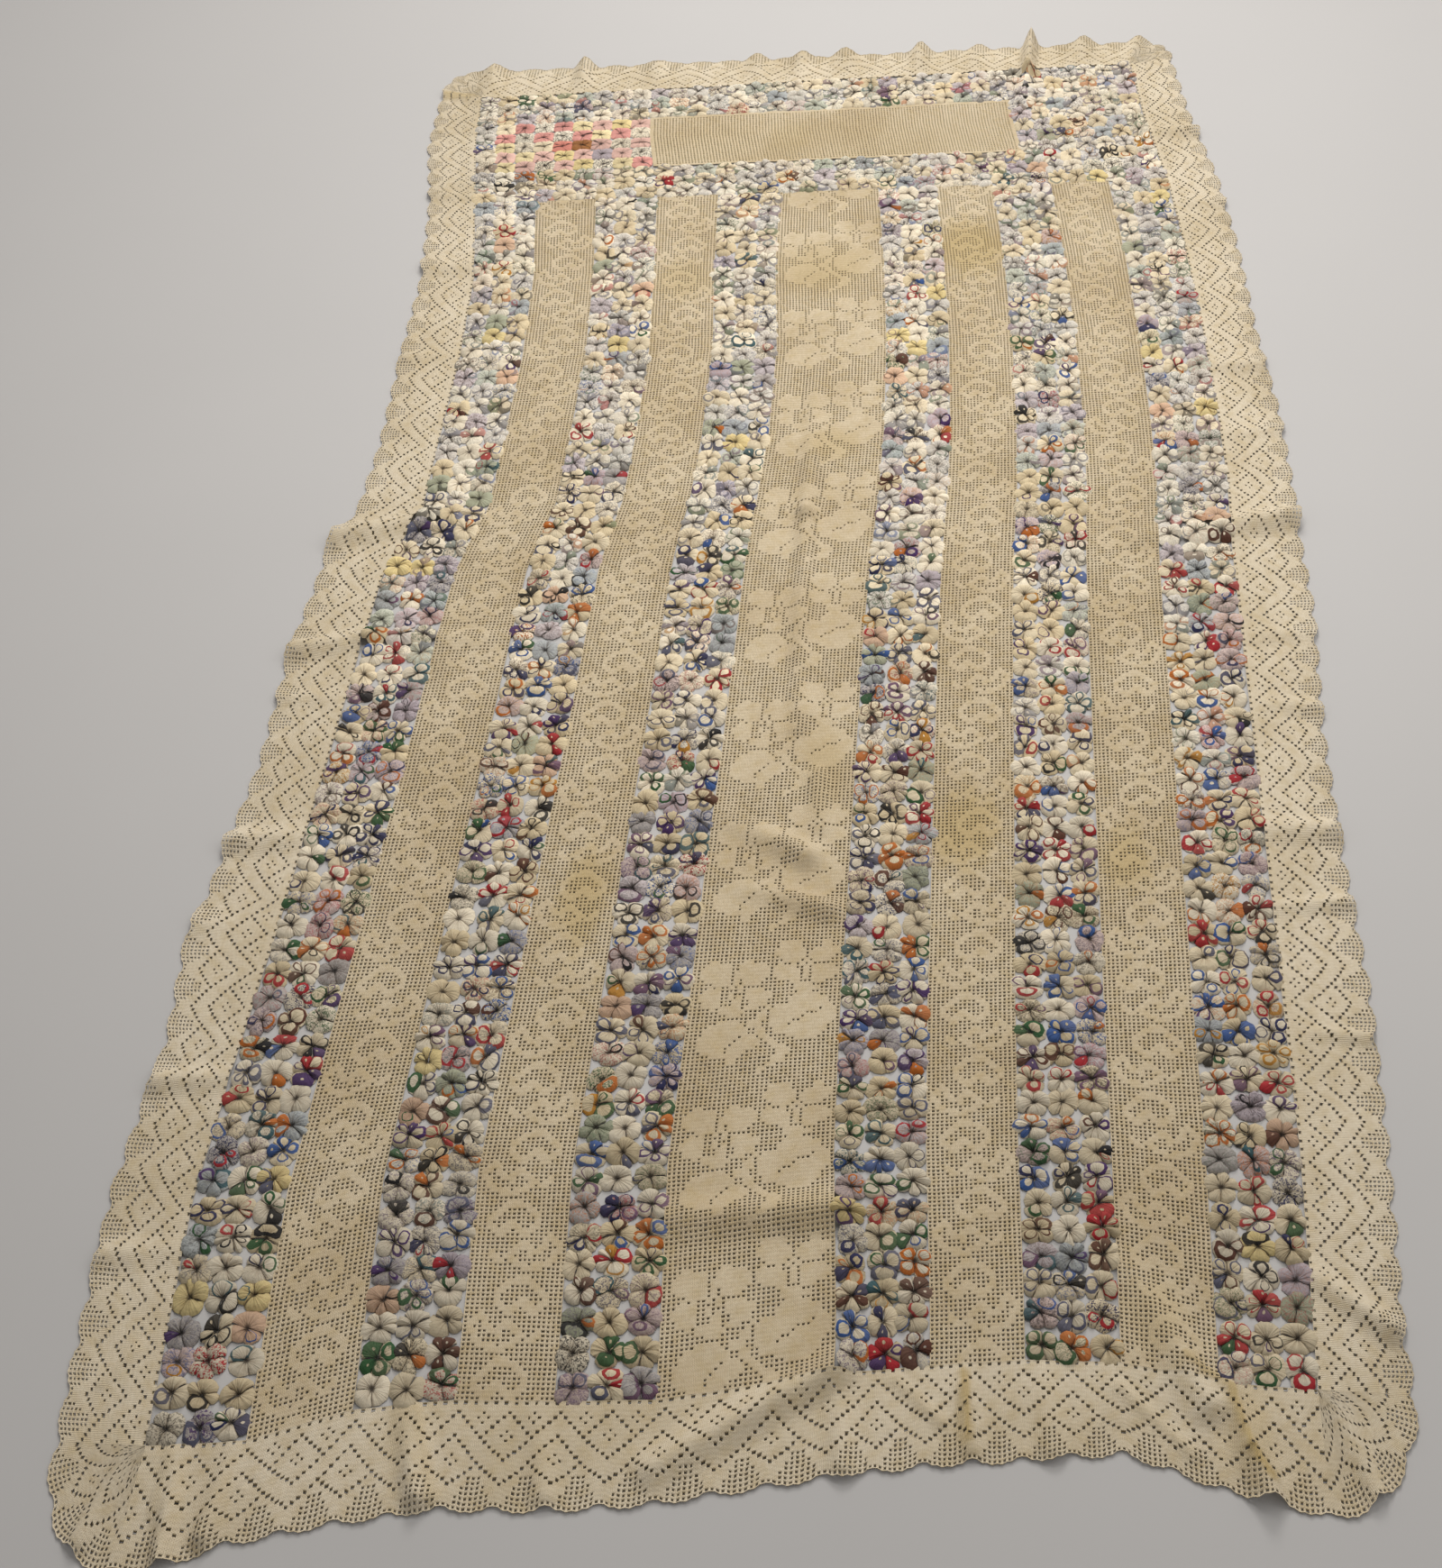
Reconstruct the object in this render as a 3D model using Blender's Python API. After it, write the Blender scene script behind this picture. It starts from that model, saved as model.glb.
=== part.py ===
"""Crochet and puff patchwork bedspread, laid out on a floor.

Strips of gathered calico puffs run from head to foot with filet crochet panels
between them. A wide filet insert sits in a band of puffs at the head, and a
crocheted lace edging with scallops runs all round.

Places on the cloth are counted in puffs: u across, from the left edge of the
puff field to its right edge, and v along, from the head seam of the long
panels (0) to the foot. Metres, +Z up, the head at +Y.
"""
import math
from typing import NamedTuple

import bmesh
import bpy
from mathutils import Vector

# Sizes in metres.
GAP = 0.00032
FILET_THICK = 0.002
LACE_THICK = 0.002
PUFF_THICK = 0.0045
PUFF_HOLE = 0.0078
EYELET_LONG = 0.0042
EYELET_WIDE = 0.0032
SCALLOP_DEPTH = 0.007
ORIGIN_X = 0.0080
ORIGIN_Y = -0.0286

# Places on the cloth, counted in puffs.
FIELD_COLUMNS = 35
CENTRE_FROM = 15
CENTRE_TO = 20
HEAD_ROW = -11
INSERT_FROM_ROW = -8
INSERT_TO_ROW = -3
FOOT_ROW = 62
INSERT_FROM = 9
INSERT_TO = 28
ROWS_PER_CELL = 2
FILET_STEP = 1.5
SIDE_SCALLOPS = 48
END_SCALLOPS = 23
CORNER_SCALLOPS = 3
EYELET_CELL = 0.6
NEAR_STOP = 0.25
SAME_SPOT_DIGITS = 6


class Finish(NamedTuple):
    """The colour, in linear light, and the roughness of one kind of cloth."""
    colour: tuple
    roughness: float


PUFF_FINISH = Finish((0.62, 0.58, 0.50), 0.90)
FILET_FINISH = Finish((0.60, 0.53, 0.36), 0.92)
LACE_FINISH = Finish((0.62, 0.57, 0.44), 0.92)


class Station(NamedTuple):
    """Where the seams lie across the cloth at one row."""
    row: float
    lace_left: float
    field_left: float
    centre_left: float
    centre_right: float
    field_right: float
    lace_right: float


STATIONS = [
    Station(-11, -0.680, -0.603, -0.105, 0.060, 0.520, 0.594),
    Station(-6, -0.676, -0.590, -0.092, 0.074, 0.534, 0.612),
    Station(0, -0.643, -0.562, -0.058, 0.102, 0.562, 0.645),
    Station(6, -0.619, -0.530, -0.052, 0.118, 0.580, 0.663),
    Station(12, -0.615, -0.518, -0.036, 0.128, 0.592, 0.672),
    Station(18, -0.606, -0.516, -0.034, 0.131, 0.600, 0.689),
    Station(22, -0.610, -0.513, -0.040, 0.128, 0.603, 0.692),
    Station(24, -0.637, -0.530, -0.045, 0.125, 0.601, 0.693),
    Station(26, -0.637, -0.544, -0.047, 0.122, 0.599, 0.692),
    Station(30, -0.646, -0.547, -0.048, 0.118, 0.5985, 0.696),
    Station(36, -0.640, -0.549, -0.050, 0.117, 0.5985, 0.686),
    Station(42, -0.654, -0.552, -0.054, 0.116, 0.5985, 0.688),
    Station(44, -0.665, -0.553, -0.054, 0.116, 0.5985, 0.691),
    Station(48, -0.650, -0.558, -0.055, 0.115, 0.598, 0.696),
    Station(54, -0.658, -0.5625, -0.058, 0.117, 0.5985, 0.691),
    Station(60, -0.642, -0.546, -0.046, 0.128, 0.592, 0.681),
    Station(62, -0.634, -0.540, -0.043, 0.130, 0.590, 0.682),
]


class FootSeam(NamedTuple):
    """The foot edge of the field, and the width of its lace, at one column."""
    column: float
    y: float
    lace: float


FOOT_SEAMS = [
    FootSeam(0, -1.262, 0.126),
    FootSeam(1.5, -1.257, 0.124),
    FootSeam(3, -1.252, 0.106),
    FootSeam(6, -1.215, 0.117),
    FootSeam(9, -1.200, 0.113),
    FootSeam(12, -1.197, 0.112),
    FootSeam(15, -1.190, 0.108),
    FootSeam(20, -1.155, 0.107),
    FootSeam(23, -1.142, 0.104),
    FootSeam(26, -1.132, 0.104),
    FootSeam(29, -1.130, 0.095),
    FootSeam(32, -1.146, 0.110),
    FootSeam(35, -1.150, 0.126),
]
HEAD_Y_LEFT = 1.197
HEAD_Y_RIGHT = 1.256
PANEL_Y_LEFT = 0.873
PANEL_Y_RIGHT = 0.905
HEAD_LACE_LEFT = 0.093
HEAD_LACE_RIGHT = 0.072
FOOT_PULL_ROW = 44
HEAD_CORNER_SQUARE = 3.0
FOOT_CORNER_SQUARE = 2.0


class Fold(NamedTuple):
    """A soft ridge from one end to the other: its height at each end and half its width."""
    x1: float
    y1: float
    high1: float
    x2: float
    y2: float
    high2: float
    half: float


FOLDS = [
    # Left edging, head to foot.
    Fold(-0.677, 1.215, 0.008, -0.590, 1.185, 0.002, 0.018),
    Fold(-0.645, 0.895, 0.006, -0.550, 0.890, 0.001, 0.022),
    Fold(-0.620, 0.695, 0.009, -0.480, 0.690, 0.002, 0.034),
    Fold(-0.620, 0.460, 0.007, -0.540, 0.465, 0.001, 0.022),
    Fold(-0.640, 0.050, 0.018, -0.500, 0.090, 0.007, 0.034),
    Fold(-0.500, 0.090, 0.007, -0.400, 0.100, 0.000, 0.034),
    Fold(-0.645, -0.170, 0.015, -0.540, -0.145, 0.006, 0.030),
    Fold(-0.540, -0.145, 0.006, -0.330, -0.140, 0.001, 0.026),
    Fold(-0.640, -0.255, 0.006, -0.560, -0.250, 0.001, 0.022),
    Fold(-0.645, -0.500, 0.013, -0.540, -0.485, 0.003, 0.030),
    Fold(-0.665, -0.625, 0.007, -0.590, -0.620, 0.000, 0.030),
    Fold(-0.650, -0.845, 0.011, -0.540, -0.835, 0.003, 0.026),
    Fold(-0.650, -1.060, 0.008, -0.560, -1.050, 0.002, 0.026),
    # Right edging, head to foot.
    Fold(0.545, 1.045, 0.003, 0.615, 1.035, 0.012, 0.026),
    Fold(0.590, 0.835, 0.003, 0.655, 0.830, 0.008, 0.022),
    Fold(0.600, 0.420, 0.004, 0.675, 0.420, 0.010, 0.026),
    Fold(0.610, 0.270, 0.002, 0.685, 0.275, 0.006, 0.022),
    Fold(0.480, 0.052, 0.004, 0.690, 0.090, 0.018, 0.034),
    Fold(0.620, -0.130, 0.002, 0.690, -0.130, 0.005, 0.022),
    Fold(0.620, -0.250, 0.002, 0.690, -0.260, 0.007, 0.022),
    Fold(0.580, -0.455, 0.004, 0.685, -0.455, 0.012, 0.030),
    Fold(0.600, -0.570, 0.003, 0.685, -0.560, 0.007, 0.018),
    Fold(0.630, -0.740, 0.003, 0.690, -0.745, 0.007, 0.016),
    Fold(0.585, -1.020, 0.004, 0.665, -1.085, 0.013, 0.022),
    # Centre panel.
    Fold(0.028, 0.420, 0.002, 0.030, 0.100, 0.009, 0.022),
    Fold(0.030, 0.100, 0.009, 0.042, -0.300, 0.005, 0.022),
    Fold(-0.035, -0.450, 0.003, 0.065, -0.505, 0.012, 0.030),
    Fold(0.000, -0.555, 0.003, 0.095, -0.585, 0.009, 0.026),
    Fold(0.070, -0.380, 0.008, 0.080, -0.460, 0.004, 0.022),
    Fold(-0.060, -0.995, 0.006, 0.120, -0.975, 0.014, 0.034),
    # Foot edging and its corners.
    Fold(-0.290, -1.205, 0.004, -0.262, -1.300, 0.015, 0.020),
    Fold(-0.040, -1.260, 0.010, 0.130, -1.150, 0.013, 0.030),
    Fold(0.255, -1.165, 0.005, 0.262, -1.225, 0.006, 0.016),
    Fold(0.420, -1.030, 0.003, 0.485, -1.170, 0.012, 0.030),
    Fold(0.500, -1.120, 0.004, 0.535, -1.260, 0.017, 0.022),
    Fold(-0.505, -1.270, 0.003, -0.495, -1.375, 0.013, 0.016),
    Fold(-0.555, -1.270, 0.002, -0.580, -1.360, 0.009, 0.018),
    Fold(-0.450, -1.260, 0.002, -0.460, -1.350, 0.011, 0.018),
    Fold(0.600, -1.160, 0.002, 0.635, -1.255, 0.009, 0.018),
    Fold(0.130, -1.160, 0.003, 0.142, -1.250, 0.009, 0.022),
    Fold(-0.160, -1.200, 0.001, -0.140, -1.292, 0.007, 0.022),
    Fold(0.330, -1.140, 0.001, 0.340, -1.225, 0.007, 0.022),
    # Ruffles of the head edging, and the pinched fold at its right.
    Fold(-0.590, 1.210, 0.001, -0.595, 1.290, 0.015, 0.030),
    Fold(-0.430, 1.210, 0.001, -0.430, 1.295, 0.018, 0.026),
    Fold(-0.300, 1.215, 0.001, -0.300, 1.298, 0.009, 0.030),
    Fold(-0.120, 1.225, 0.001, -0.125, 1.305, 0.010, 0.030),
    Fold(-0.050, 1.225, 0.001, -0.045, 1.308, 0.016, 0.024),
    Fold(0.030, 1.230, 0.001, 0.030, 1.312, 0.014, 0.034),
    Fold(0.160, 1.235, 0.001, 0.160, 1.316, 0.019, 0.028),
    Fold(0.260, 1.240, 0.001, 0.262, 1.320, 0.009, 0.030),
    Fold(0.440, 1.250, 0.001, 0.440, 1.325, 0.016, 0.034),
    Fold(0.525, 1.256, 0.001, 0.535, 1.325, 0.013, 0.026),
    Fold(0.335, 1.120, 0.003, 0.345, 1.230, 0.013, 0.018),
    Fold(0.345, 1.230, 0.013, 0.352, 1.322, 0.032, 0.018),
]


def mix(a, b, share):
    return a + (b - a) * share


def ease(share):
    share = min(1.0, max(0.0, share))
    return share * share * (3 - 2 * share)


def between(rows, key, at):
    """The value of every named column of a table, between its rows."""
    last = rows[0]
    for row in rows[1:]:
        if at <= getattr(row, key):
            share = (at - getattr(last, key)) / (getattr(row, key) - getattr(last, key))
            return type(row)(*[mix(a, b, share) for a, b in zip(last, row)])
        last = row
    return last


def across(u, v):
    """X of a place on the field."""
    here = between(STATIONS, "row", v)
    if u <= CENTRE_FROM:
        return mix(here.field_left, here.centre_left, u / CENTRE_FROM)
    if u <= CENTRE_TO:
        return mix(here.centre_left, here.centre_right, (u - CENTRE_FROM) / (CENTRE_TO - CENTRE_FROM))
    return mix(here.centre_right, here.field_right, (u - CENTRE_TO) / (FIELD_COLUMNS - CENTRE_TO))


def along(u, v):
    """Y of a place on the field. Near the foot the rows bend to meet the foot edge."""
    share = u / FIELD_COLUMNS
    panel_top = mix(PANEL_Y_LEFT, PANEL_Y_RIGHT, share)
    if v <= 0:
        return mix(panel_top, mix(HEAD_Y_LEFT, HEAD_Y_RIGHT, share), v / HEAD_ROW)
    straight_foot = mix(FOOT_SEAMS[0].y, FOOT_SEAMS[-1].y, share)
    pull = between(FOOT_SEAMS, "column", u).y - straight_foot
    eased = ease((v - FOOT_PULL_ROW) / (FOOT_ROW - FOOT_PULL_ROW))
    return mix(panel_top, straight_foot, v / FOOT_ROW) + pull * eased


def place(u, v, shift_x=0.0, shift_y=0.0):
    return Vector((across(u, v) + shift_x, along(u, v) + shift_y))


def fold_height(point):
    """How far the folds lift the cloth off the floor at a place."""
    lift = 0.0
    for fold in FOLDS:
        start = Vector((fold.x1, fold.y1))
        run = Vector((fold.x2, fold.y2)) - start
        share = min(1.0, max(0.0, (point - start).dot(run) / run.length_squared))
        away = (point - start - run * share).length / fold.half
        if away < 1:
            lift += mix(fold.high1, fold.high2, share) * 0.5 * (1 + math.cos(math.pi * away))
    return lift


def cuts(start, end, step, stops):
    """Numbers from start to end, a step apart, with the stops between them kept."""
    inner = [start + step * n for n in range(1, math.ceil((end - start) / step))]
    near = step * NEAR_STOP
    stops = [s for s in stops if start < s < end]
    kept = [n for n in inner if n < end - near and all(abs(n - s) > near for s in stops)]
    return sorted([start, end] + kept + stops)


def closed_sheet(name, plan, holes, thick):
    """A sheet of one thickness over a grid of plan points, lying on the folds.

    plan[i][j] are points in plan; repeated points close a fan. holes maps a
    cell (i, j) to the four corners of its opening, along the cell's own order.
    """
    spots = {}
    points = []

    def spot(point):
        key = (round(point.x, SAME_SPOT_DIGITS), round(point.y, SAME_SPOT_DIGITS))
        if key not in spots:
            spots[key] = len(points)
            points.append(point)
        return spots[key]

    faces = []
    for i in range(len(plan) - 1):
        for j in range(len(plan[0]) - 1):
            ring = [plan[i][j], plan[i + 1][j], plan[i + 1][j + 1], plan[i][j + 1]]
            ring = [spot(p) for p in ring]
            if (i, j) in holes:
                inner = [spot(p) for p in holes[(i, j)]]
                for k in range(4):
                    after = (k + 1) % 4
                    faces.append((ring[k], ring[after], inner[k]))
                    faces.append((ring[after], inner[after], inner[k]))
                continue
            ring = list(dict.fromkeys(ring))
            if len(ring) == 4:
                faces.append((ring[0], ring[1], ring[2]))
                faces.append((ring[0], ring[2], ring[3]))
            elif len(ring) == 3:
                faces.append(tuple(ring))

    turned = []
    for a, b, c in faces:
        side = (points[b] - points[a]).cross(points[c] - points[a])
        turned.append((a, b, c) if side > 0 else (a, c, b))

    middle = sum(points, Vector((0, 0))) / len(points)
    origin = Vector((middle.x - ORIGIN_X, middle.y - ORIGIN_Y, 0))
    mesh = bmesh.new()
    lower = []
    upper = []
    for point in points:
        lift = fold_height(point)
        lower.append(mesh.verts.new((point.x - middle.x, point.y - middle.y, lift)))
        upper.append(mesh.verts.new((point.x - middle.x, point.y - middle.y, lift + thick)))
    edges = set()
    for a, b, c in turned:
        mesh.faces.new((upper[a], upper[b], upper[c]))
        mesh.faces.new((lower[a], lower[c], lower[b]))
        edges.update([(a, b), (b, c), (c, a)])
    for a, b in sorted(edges):
        if (b, a) not in edges:
            mesh.faces.new((lower[a], lower[b], upper[b]))
            mesh.faces.new((lower[a], upper[b], upper[a]))
    data = bpy.data.meshes.new(name)
    mesh.to_mesh(data)
    mesh.free()
    piece = bpy.data.objects.new(name, data)
    piece.location = origin
    bpy.context.scene.collection.objects.link(piece)
    return piece


def dress(piece, finish):
    """Give a piece its own material, and hang it on the bedspread's empty."""
    material = bpy.data.materials.new(piece.name + "_finish")
    material.use_nodes = True
    shader = material.node_tree.nodes["Principled BSDF"]
    shader.inputs["Base Color"].default_value = (*finish.colour, 1)
    shader.inputs["Roughness"].default_value = finish.roughness
    shader.inputs["Metallic"].default_value = 0
    piece.data.materials.append(material)
    piece.parent = bedspread


def field_grid(columns, rows):
    """Plan points of a piece of the field, drawn in by half a gap all round."""
    half = GAP / 2
    grid = []
    for i, u in enumerate(columns):
        shift_x = half if i == 0 else (-half if i == len(columns) - 1 else 0)
        line = []
        for j, v in enumerate(rows):
            shift_y = -half if j == 0 else (half if j == len(rows) - 1 else 0)
            line.append(place(u, v, shift_x, shift_y))
        grid.append(line)
    return grid


def diamond(cell, centre, size, other_size):
    """A four-cornered opening; each corner points at the side that follows the cell's corner."""
    middle = sum(cell, Vector((0, 0))) / 4
    tips = []
    for k in range(4):
        away = (cell[k] + cell[(k + 1) % 4]) / 2 - middle
        tips.append(centre + away.normalized() * (other_size if k % 2 else size))
    return tips


def puff_piece(name, columns, rows):
    """A patchwork of puffs with open diamonds, at twice the pitch of the puffs."""
    holes = {}
    for i in range(len(columns) - 1):
        for j in range(len(rows) - 1):
            wide = columns[i + 1] - columns[i]
            tall = rows[j + 1] - rows[j]
            if wide < ROWS_PER_CELL or tall < ROWS_PER_CELL:
                continue
            cell = [place(columns[i], rows[j]), place(columns[i + 1], rows[j]),
                    place(columns[i + 1], rows[j + 1]), place(columns[i], rows[j + 1])]
            step = 1 if wide == ROWS_PER_CELL or j % 2 == 0 else 2
            centre = place(columns[i] + step, rows[j] + 1)
            holes[(i, j)] = diamond(cell, centre, PUFF_HOLE, PUFF_HOLE)
    piece = closed_sheet(name, field_grid(columns, rows), holes, PUFF_THICK)
    dress(piece, PUFF_FINISH)
    return len(holes)


def filet_piece(name, columns, rows):
    piece = closed_sheet(name, field_grid(columns, rows), {}, FILET_THICK)
    dress(piece, FILET_FINISH)


def scallop(turns):
    """How far the edge of the lace is drawn in, after so many scallops."""
    return SCALLOP_DEPTH * (1 - abs(math.sin(math.pi * turns)))


def eyelets(plan, places, first, repeat):
    """One eyelet for each repeat, in the first wide inner cell past its middle."""
    holes = {}
    wanted = places[0] + repeat / 2
    for i in range(len(places) - 1):
        if wanted <= places[i] and places[i + 1] - places[i] > EYELET_CELL:
            k = first + i
            cell = [plan[k][0], plan[k + 1][0], plan[k + 1][1], plan[k][1]]
            holes[(k, 0)] = diamond(cell, sum(cell, Vector((0, 0))) / 4, EYELET_WIDE, EYELET_LONG)
            wanted += repeat
    return holes


def side_lace(name, left):
    """The edging down one side of the field."""
    length = FOOT_ROW - HEAD_ROW
    rows = cuts(HEAD_ROW, FOOT_ROW, length / SIDE_SCALLOPS / 2, [s.row for s in STATIONS])
    outward = -1 if left else 1
    edge_column = 0 if left else FIELD_COLUMNS
    plan = []
    for j, v in enumerate(rows):
        shift_y = -GAP / 2 if j == 0 else (GAP / 2 if j == len(rows) - 1 else 0)
        here = between(STATIONS, "row", v)
        reach = here.lace_left if left else here.lace_right
        inner = place(edge_column, v, outward * GAP / 2, shift_y)
        drawn_in = scallop((v - HEAD_ROW) / length * SIDE_SCALLOPS)
        outer = Vector((reach - outward * drawn_in, inner.y))
        plan.append([inner, (inner + outer) / 2, outer])
    holes = eyelets(plan, rows, 0, length / SIDE_SCALLOPS * 2)
    piece = closed_sheet(name, plan, holes, LACE_THICK)
    dress(piece, LACE_FINISH)
    return len(holes)


def corner_point(centre, reach_x, reach_y, turn, square):
    """A point on a rounded corner: turn runs from 0 on the side to 1 at the end of the cloth."""
    angle = turn * math.pi / 2
    power = 2 / square
    return centre + Vector((reach_x * math.cos(angle) ** power, reach_y * math.sin(angle) ** power))


def end_lace(name, head):
    """The edging across the head or the foot, with the gathered corner at each end."""
    row = HEAD_ROW if head else FOOT_ROW
    outward = 1 if head else -1
    here = between(STATIONS, "row", row)
    half_scallop = FIELD_COLUMNS / END_SCALLOPS / 2
    columns = cuts(0, FIELD_COLUMNS, half_scallop, [seam.column for seam in FOOT_SEAMS])
    left = place(0, row, 0, outward * GAP / 2)
    right = place(FIELD_COLUMNS, row, 0, outward * GAP / 2)
    plan = []

    def add(inner, outer):
        plan.append([inner, (inner + outer) / 2, outer])

    def add_corner(centre, reach_x, reach_y, turns):
        for turn in turns:
            square = HEAD_CORNER_SQUARE if head else FOOT_CORNER_SQUARE
            outer = corner_point(centre, reach_x, reach_y, turn, square)
            drawn_in = scallop(turn * CORNER_SCALLOPS)
            add(centre, outer + (centre - outer).normalized() * drawn_in)

    def width_at(u):
        if head:
            return mix(HEAD_LACE_LEFT, HEAD_LACE_RIGHT, u / FIELD_COLUMNS)
        return between(FOOT_SEAMS, "column", u).lace

    steps = 2 * CORNER_SCALLOPS
    turns = [n / steps for n in range(steps)]
    add_corner(left, here.lace_left - left.x, outward * width_at(0), turns)
    for u in columns:
        inner = place(u, row, 0, outward * GAP / 2)
        reach = width_at(u) - scallop(u / FIELD_COLUMNS * END_SCALLOPS)
        add(inner, inner + Vector((0, outward * reach)))
    last_width = width_at(FIELD_COLUMNS)
    add_corner(right, here.lace_right - right.x, outward * last_width, reversed(turns))
    holes = eyelets(plan, columns, steps, FIELD_COLUMNS / END_SCALLOPS * 2)
    piece = closed_sheet(name, plan, holes, LACE_THICK)
    dress(piece, LACE_FINISH)
    return len(holes)


for item in list(bpy.data.objects):
    bpy.data.objects.remove(item)

bedspread = bpy.data.objects.new("bedspread", None)
bpy.context.scene.collection.objects.link(bedspread)

strip_starts = [0, 6, 12, 20, 26, 32]
panel_spans = [(3, 6), (9, 12), (CENTRE_FROM, CENTRE_TO), (23, 26), (29, 32)]
seam_columns = [0, 3, 6, 9, 12, 15, 20, 23, 26, 29, 32, 35]
long_rows = cuts(0, FOOT_ROW, ROWS_PER_CELL, [])
opened = 0

for number, start in enumerate(strip_starts, 1):
    opened += puff_piece(f"puff_strip_{number}", [start, start + 3], long_rows)

for number, (start, end) in enumerate(panel_spans, 1):
    parts = round((end - start) / FILET_STEP)
    filet_piece(f"filet_panel_{number}", cuts(start, end, (end - start) / parts, []), long_rows)

head_columns = cuts(0, FIELD_COLUMNS, ROWS_PER_CELL, [CENTRE_FROM, CENTRE_TO])
under_columns = cuts(0, FIELD_COLUMNS, ROWS_PER_CELL, seam_columns + [INSERT_FROM, INSERT_TO])
opened += puff_piece("puff_band_head", head_columns, [HEAD_ROW, INSERT_FROM_ROW])
opened += puff_piece("puff_band_under", under_columns, [INSERT_TO_ROW, 0])
insert_rows = cuts(INSERT_FROM_ROW, INSERT_TO_ROW, ROWS_PER_CELL, [s.row for s in STATIONS])
opened += puff_piece("puff_block_left", cuts(0, INSERT_FROM, ROWS_PER_CELL, []), insert_rows)
right_columns = cuts(INSERT_TO, FIELD_COLUMNS, ROWS_PER_CELL, [])
opened += puff_piece("puff_block_right", right_columns, insert_rows)
insert_columns = cuts(INSERT_FROM, INSERT_TO, FILET_STEP, [CENTRE_FROM, CENTRE_TO])
filet_piece("filet_insert", insert_columns, insert_rows)

opened += side_lace("lace_left", True)
opened += side_lace("lace_right", False)
opened += end_lace("lace_head", True)
opened += end_lace("lace_foot", False)
print("openings cut through:", opened)
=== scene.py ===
import math
from types import SimpleNamespace

import bpy
import numpy as np
from mathutils import Matrix


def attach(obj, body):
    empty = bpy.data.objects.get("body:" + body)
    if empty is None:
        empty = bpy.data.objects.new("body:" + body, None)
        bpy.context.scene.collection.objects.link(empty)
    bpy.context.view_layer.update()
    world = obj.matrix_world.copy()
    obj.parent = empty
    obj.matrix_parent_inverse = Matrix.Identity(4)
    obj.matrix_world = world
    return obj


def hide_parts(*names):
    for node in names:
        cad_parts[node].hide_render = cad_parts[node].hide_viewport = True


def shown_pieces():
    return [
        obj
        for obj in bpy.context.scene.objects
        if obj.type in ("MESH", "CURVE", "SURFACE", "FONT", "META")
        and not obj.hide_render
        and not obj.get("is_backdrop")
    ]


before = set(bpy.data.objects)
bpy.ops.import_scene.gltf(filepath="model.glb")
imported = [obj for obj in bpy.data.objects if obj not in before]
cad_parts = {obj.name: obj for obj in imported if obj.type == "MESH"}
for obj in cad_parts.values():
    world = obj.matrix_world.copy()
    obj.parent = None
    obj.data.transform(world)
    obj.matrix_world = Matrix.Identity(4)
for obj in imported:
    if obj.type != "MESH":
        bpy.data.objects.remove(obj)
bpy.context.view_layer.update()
print("frame loaded")

# Places on the cloth are counted in puffs: u across the field of puffs, v along it.
# v is 0 at the head seam of the long panels, and grows towards the foot.
field = {
    "columns": 35,
    "centreFrom": 15,
    "centreTo": 20,
    "headRow": -11,
    "insertFromRow": -8,
    "insertToRow": -3,
    "insertFrom": 9,
    "insertTo": 28,
    "footRow": 62,
    "headY": (1.197, 1.256),  # left and right end of the head seam
    "panelY": (.873, .905),  # and of the seam where the long panels start
    "footPullRow": 44,
    "origin": (.008, -.0286),
}

# Where the seams lie across the cloth, in metres, row by row.
seams = {
    "row": [-11, -6, 0, 6, 12, 18, 22, 24, 26, 30, 36, 42, 44, 48, 54, 60, 62],
    "laceLeft": [-.68, -.676, -.643, -.619, -.615, -.606, -.61, -.637, -.637, -.646, -.64,
                 -.654, -.665, -.65, -.658, -.642, -.634],
    "fieldLeft": [-.603, -.59, -.562, -.53, -.518, -.516, -.513, -.53, -.544, -.547, -.549,
                  -.552, -.553, -.558, -.5625, -.546, -.54],
    "centreLeft": [-.105, -.092, -.058, -.052, -.036, -.034, -.04, -.045, -.047, -.048, -.05,
                   -.054, -.054, -.055, -.058, -.046, -.043],
    "centreRight": [.06, .074, .102, .118, .128, .131, .128, .125, .122, .118, .117,
                    .116, .116, .115, .117, .128, .13],
    "fieldRight": [.52, .534, .562, .58, .592, .6, .603, .601, .599, .5985, .5985,
                   .5985, .5985, .598, .5985, .592, .59],
    "laceRight": [.594, .612, .645, .663, .672, .689, .692, .693, .692, .696, .686,
                  .688, .691, .696, .691, .681, .682],
}

# The foot seam of the field, and how wide the lace is under it.
footSeam = {
    "column": [0, 1.5, 3, 6, 9, 12, 15, 20, 23, 26, 29, 32, 35],
    "y": [-1.262, -1.257, -1.252, -1.215, -1.2, -1.197, -1.19, -1.155, -1.142, -1.132,
          -1.13, -1.146, -1.15],
    "lace": [.126, .124, .106, .117, .113, .112, .108, .107, .104, .104, .095, .11, .126],
}

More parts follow.
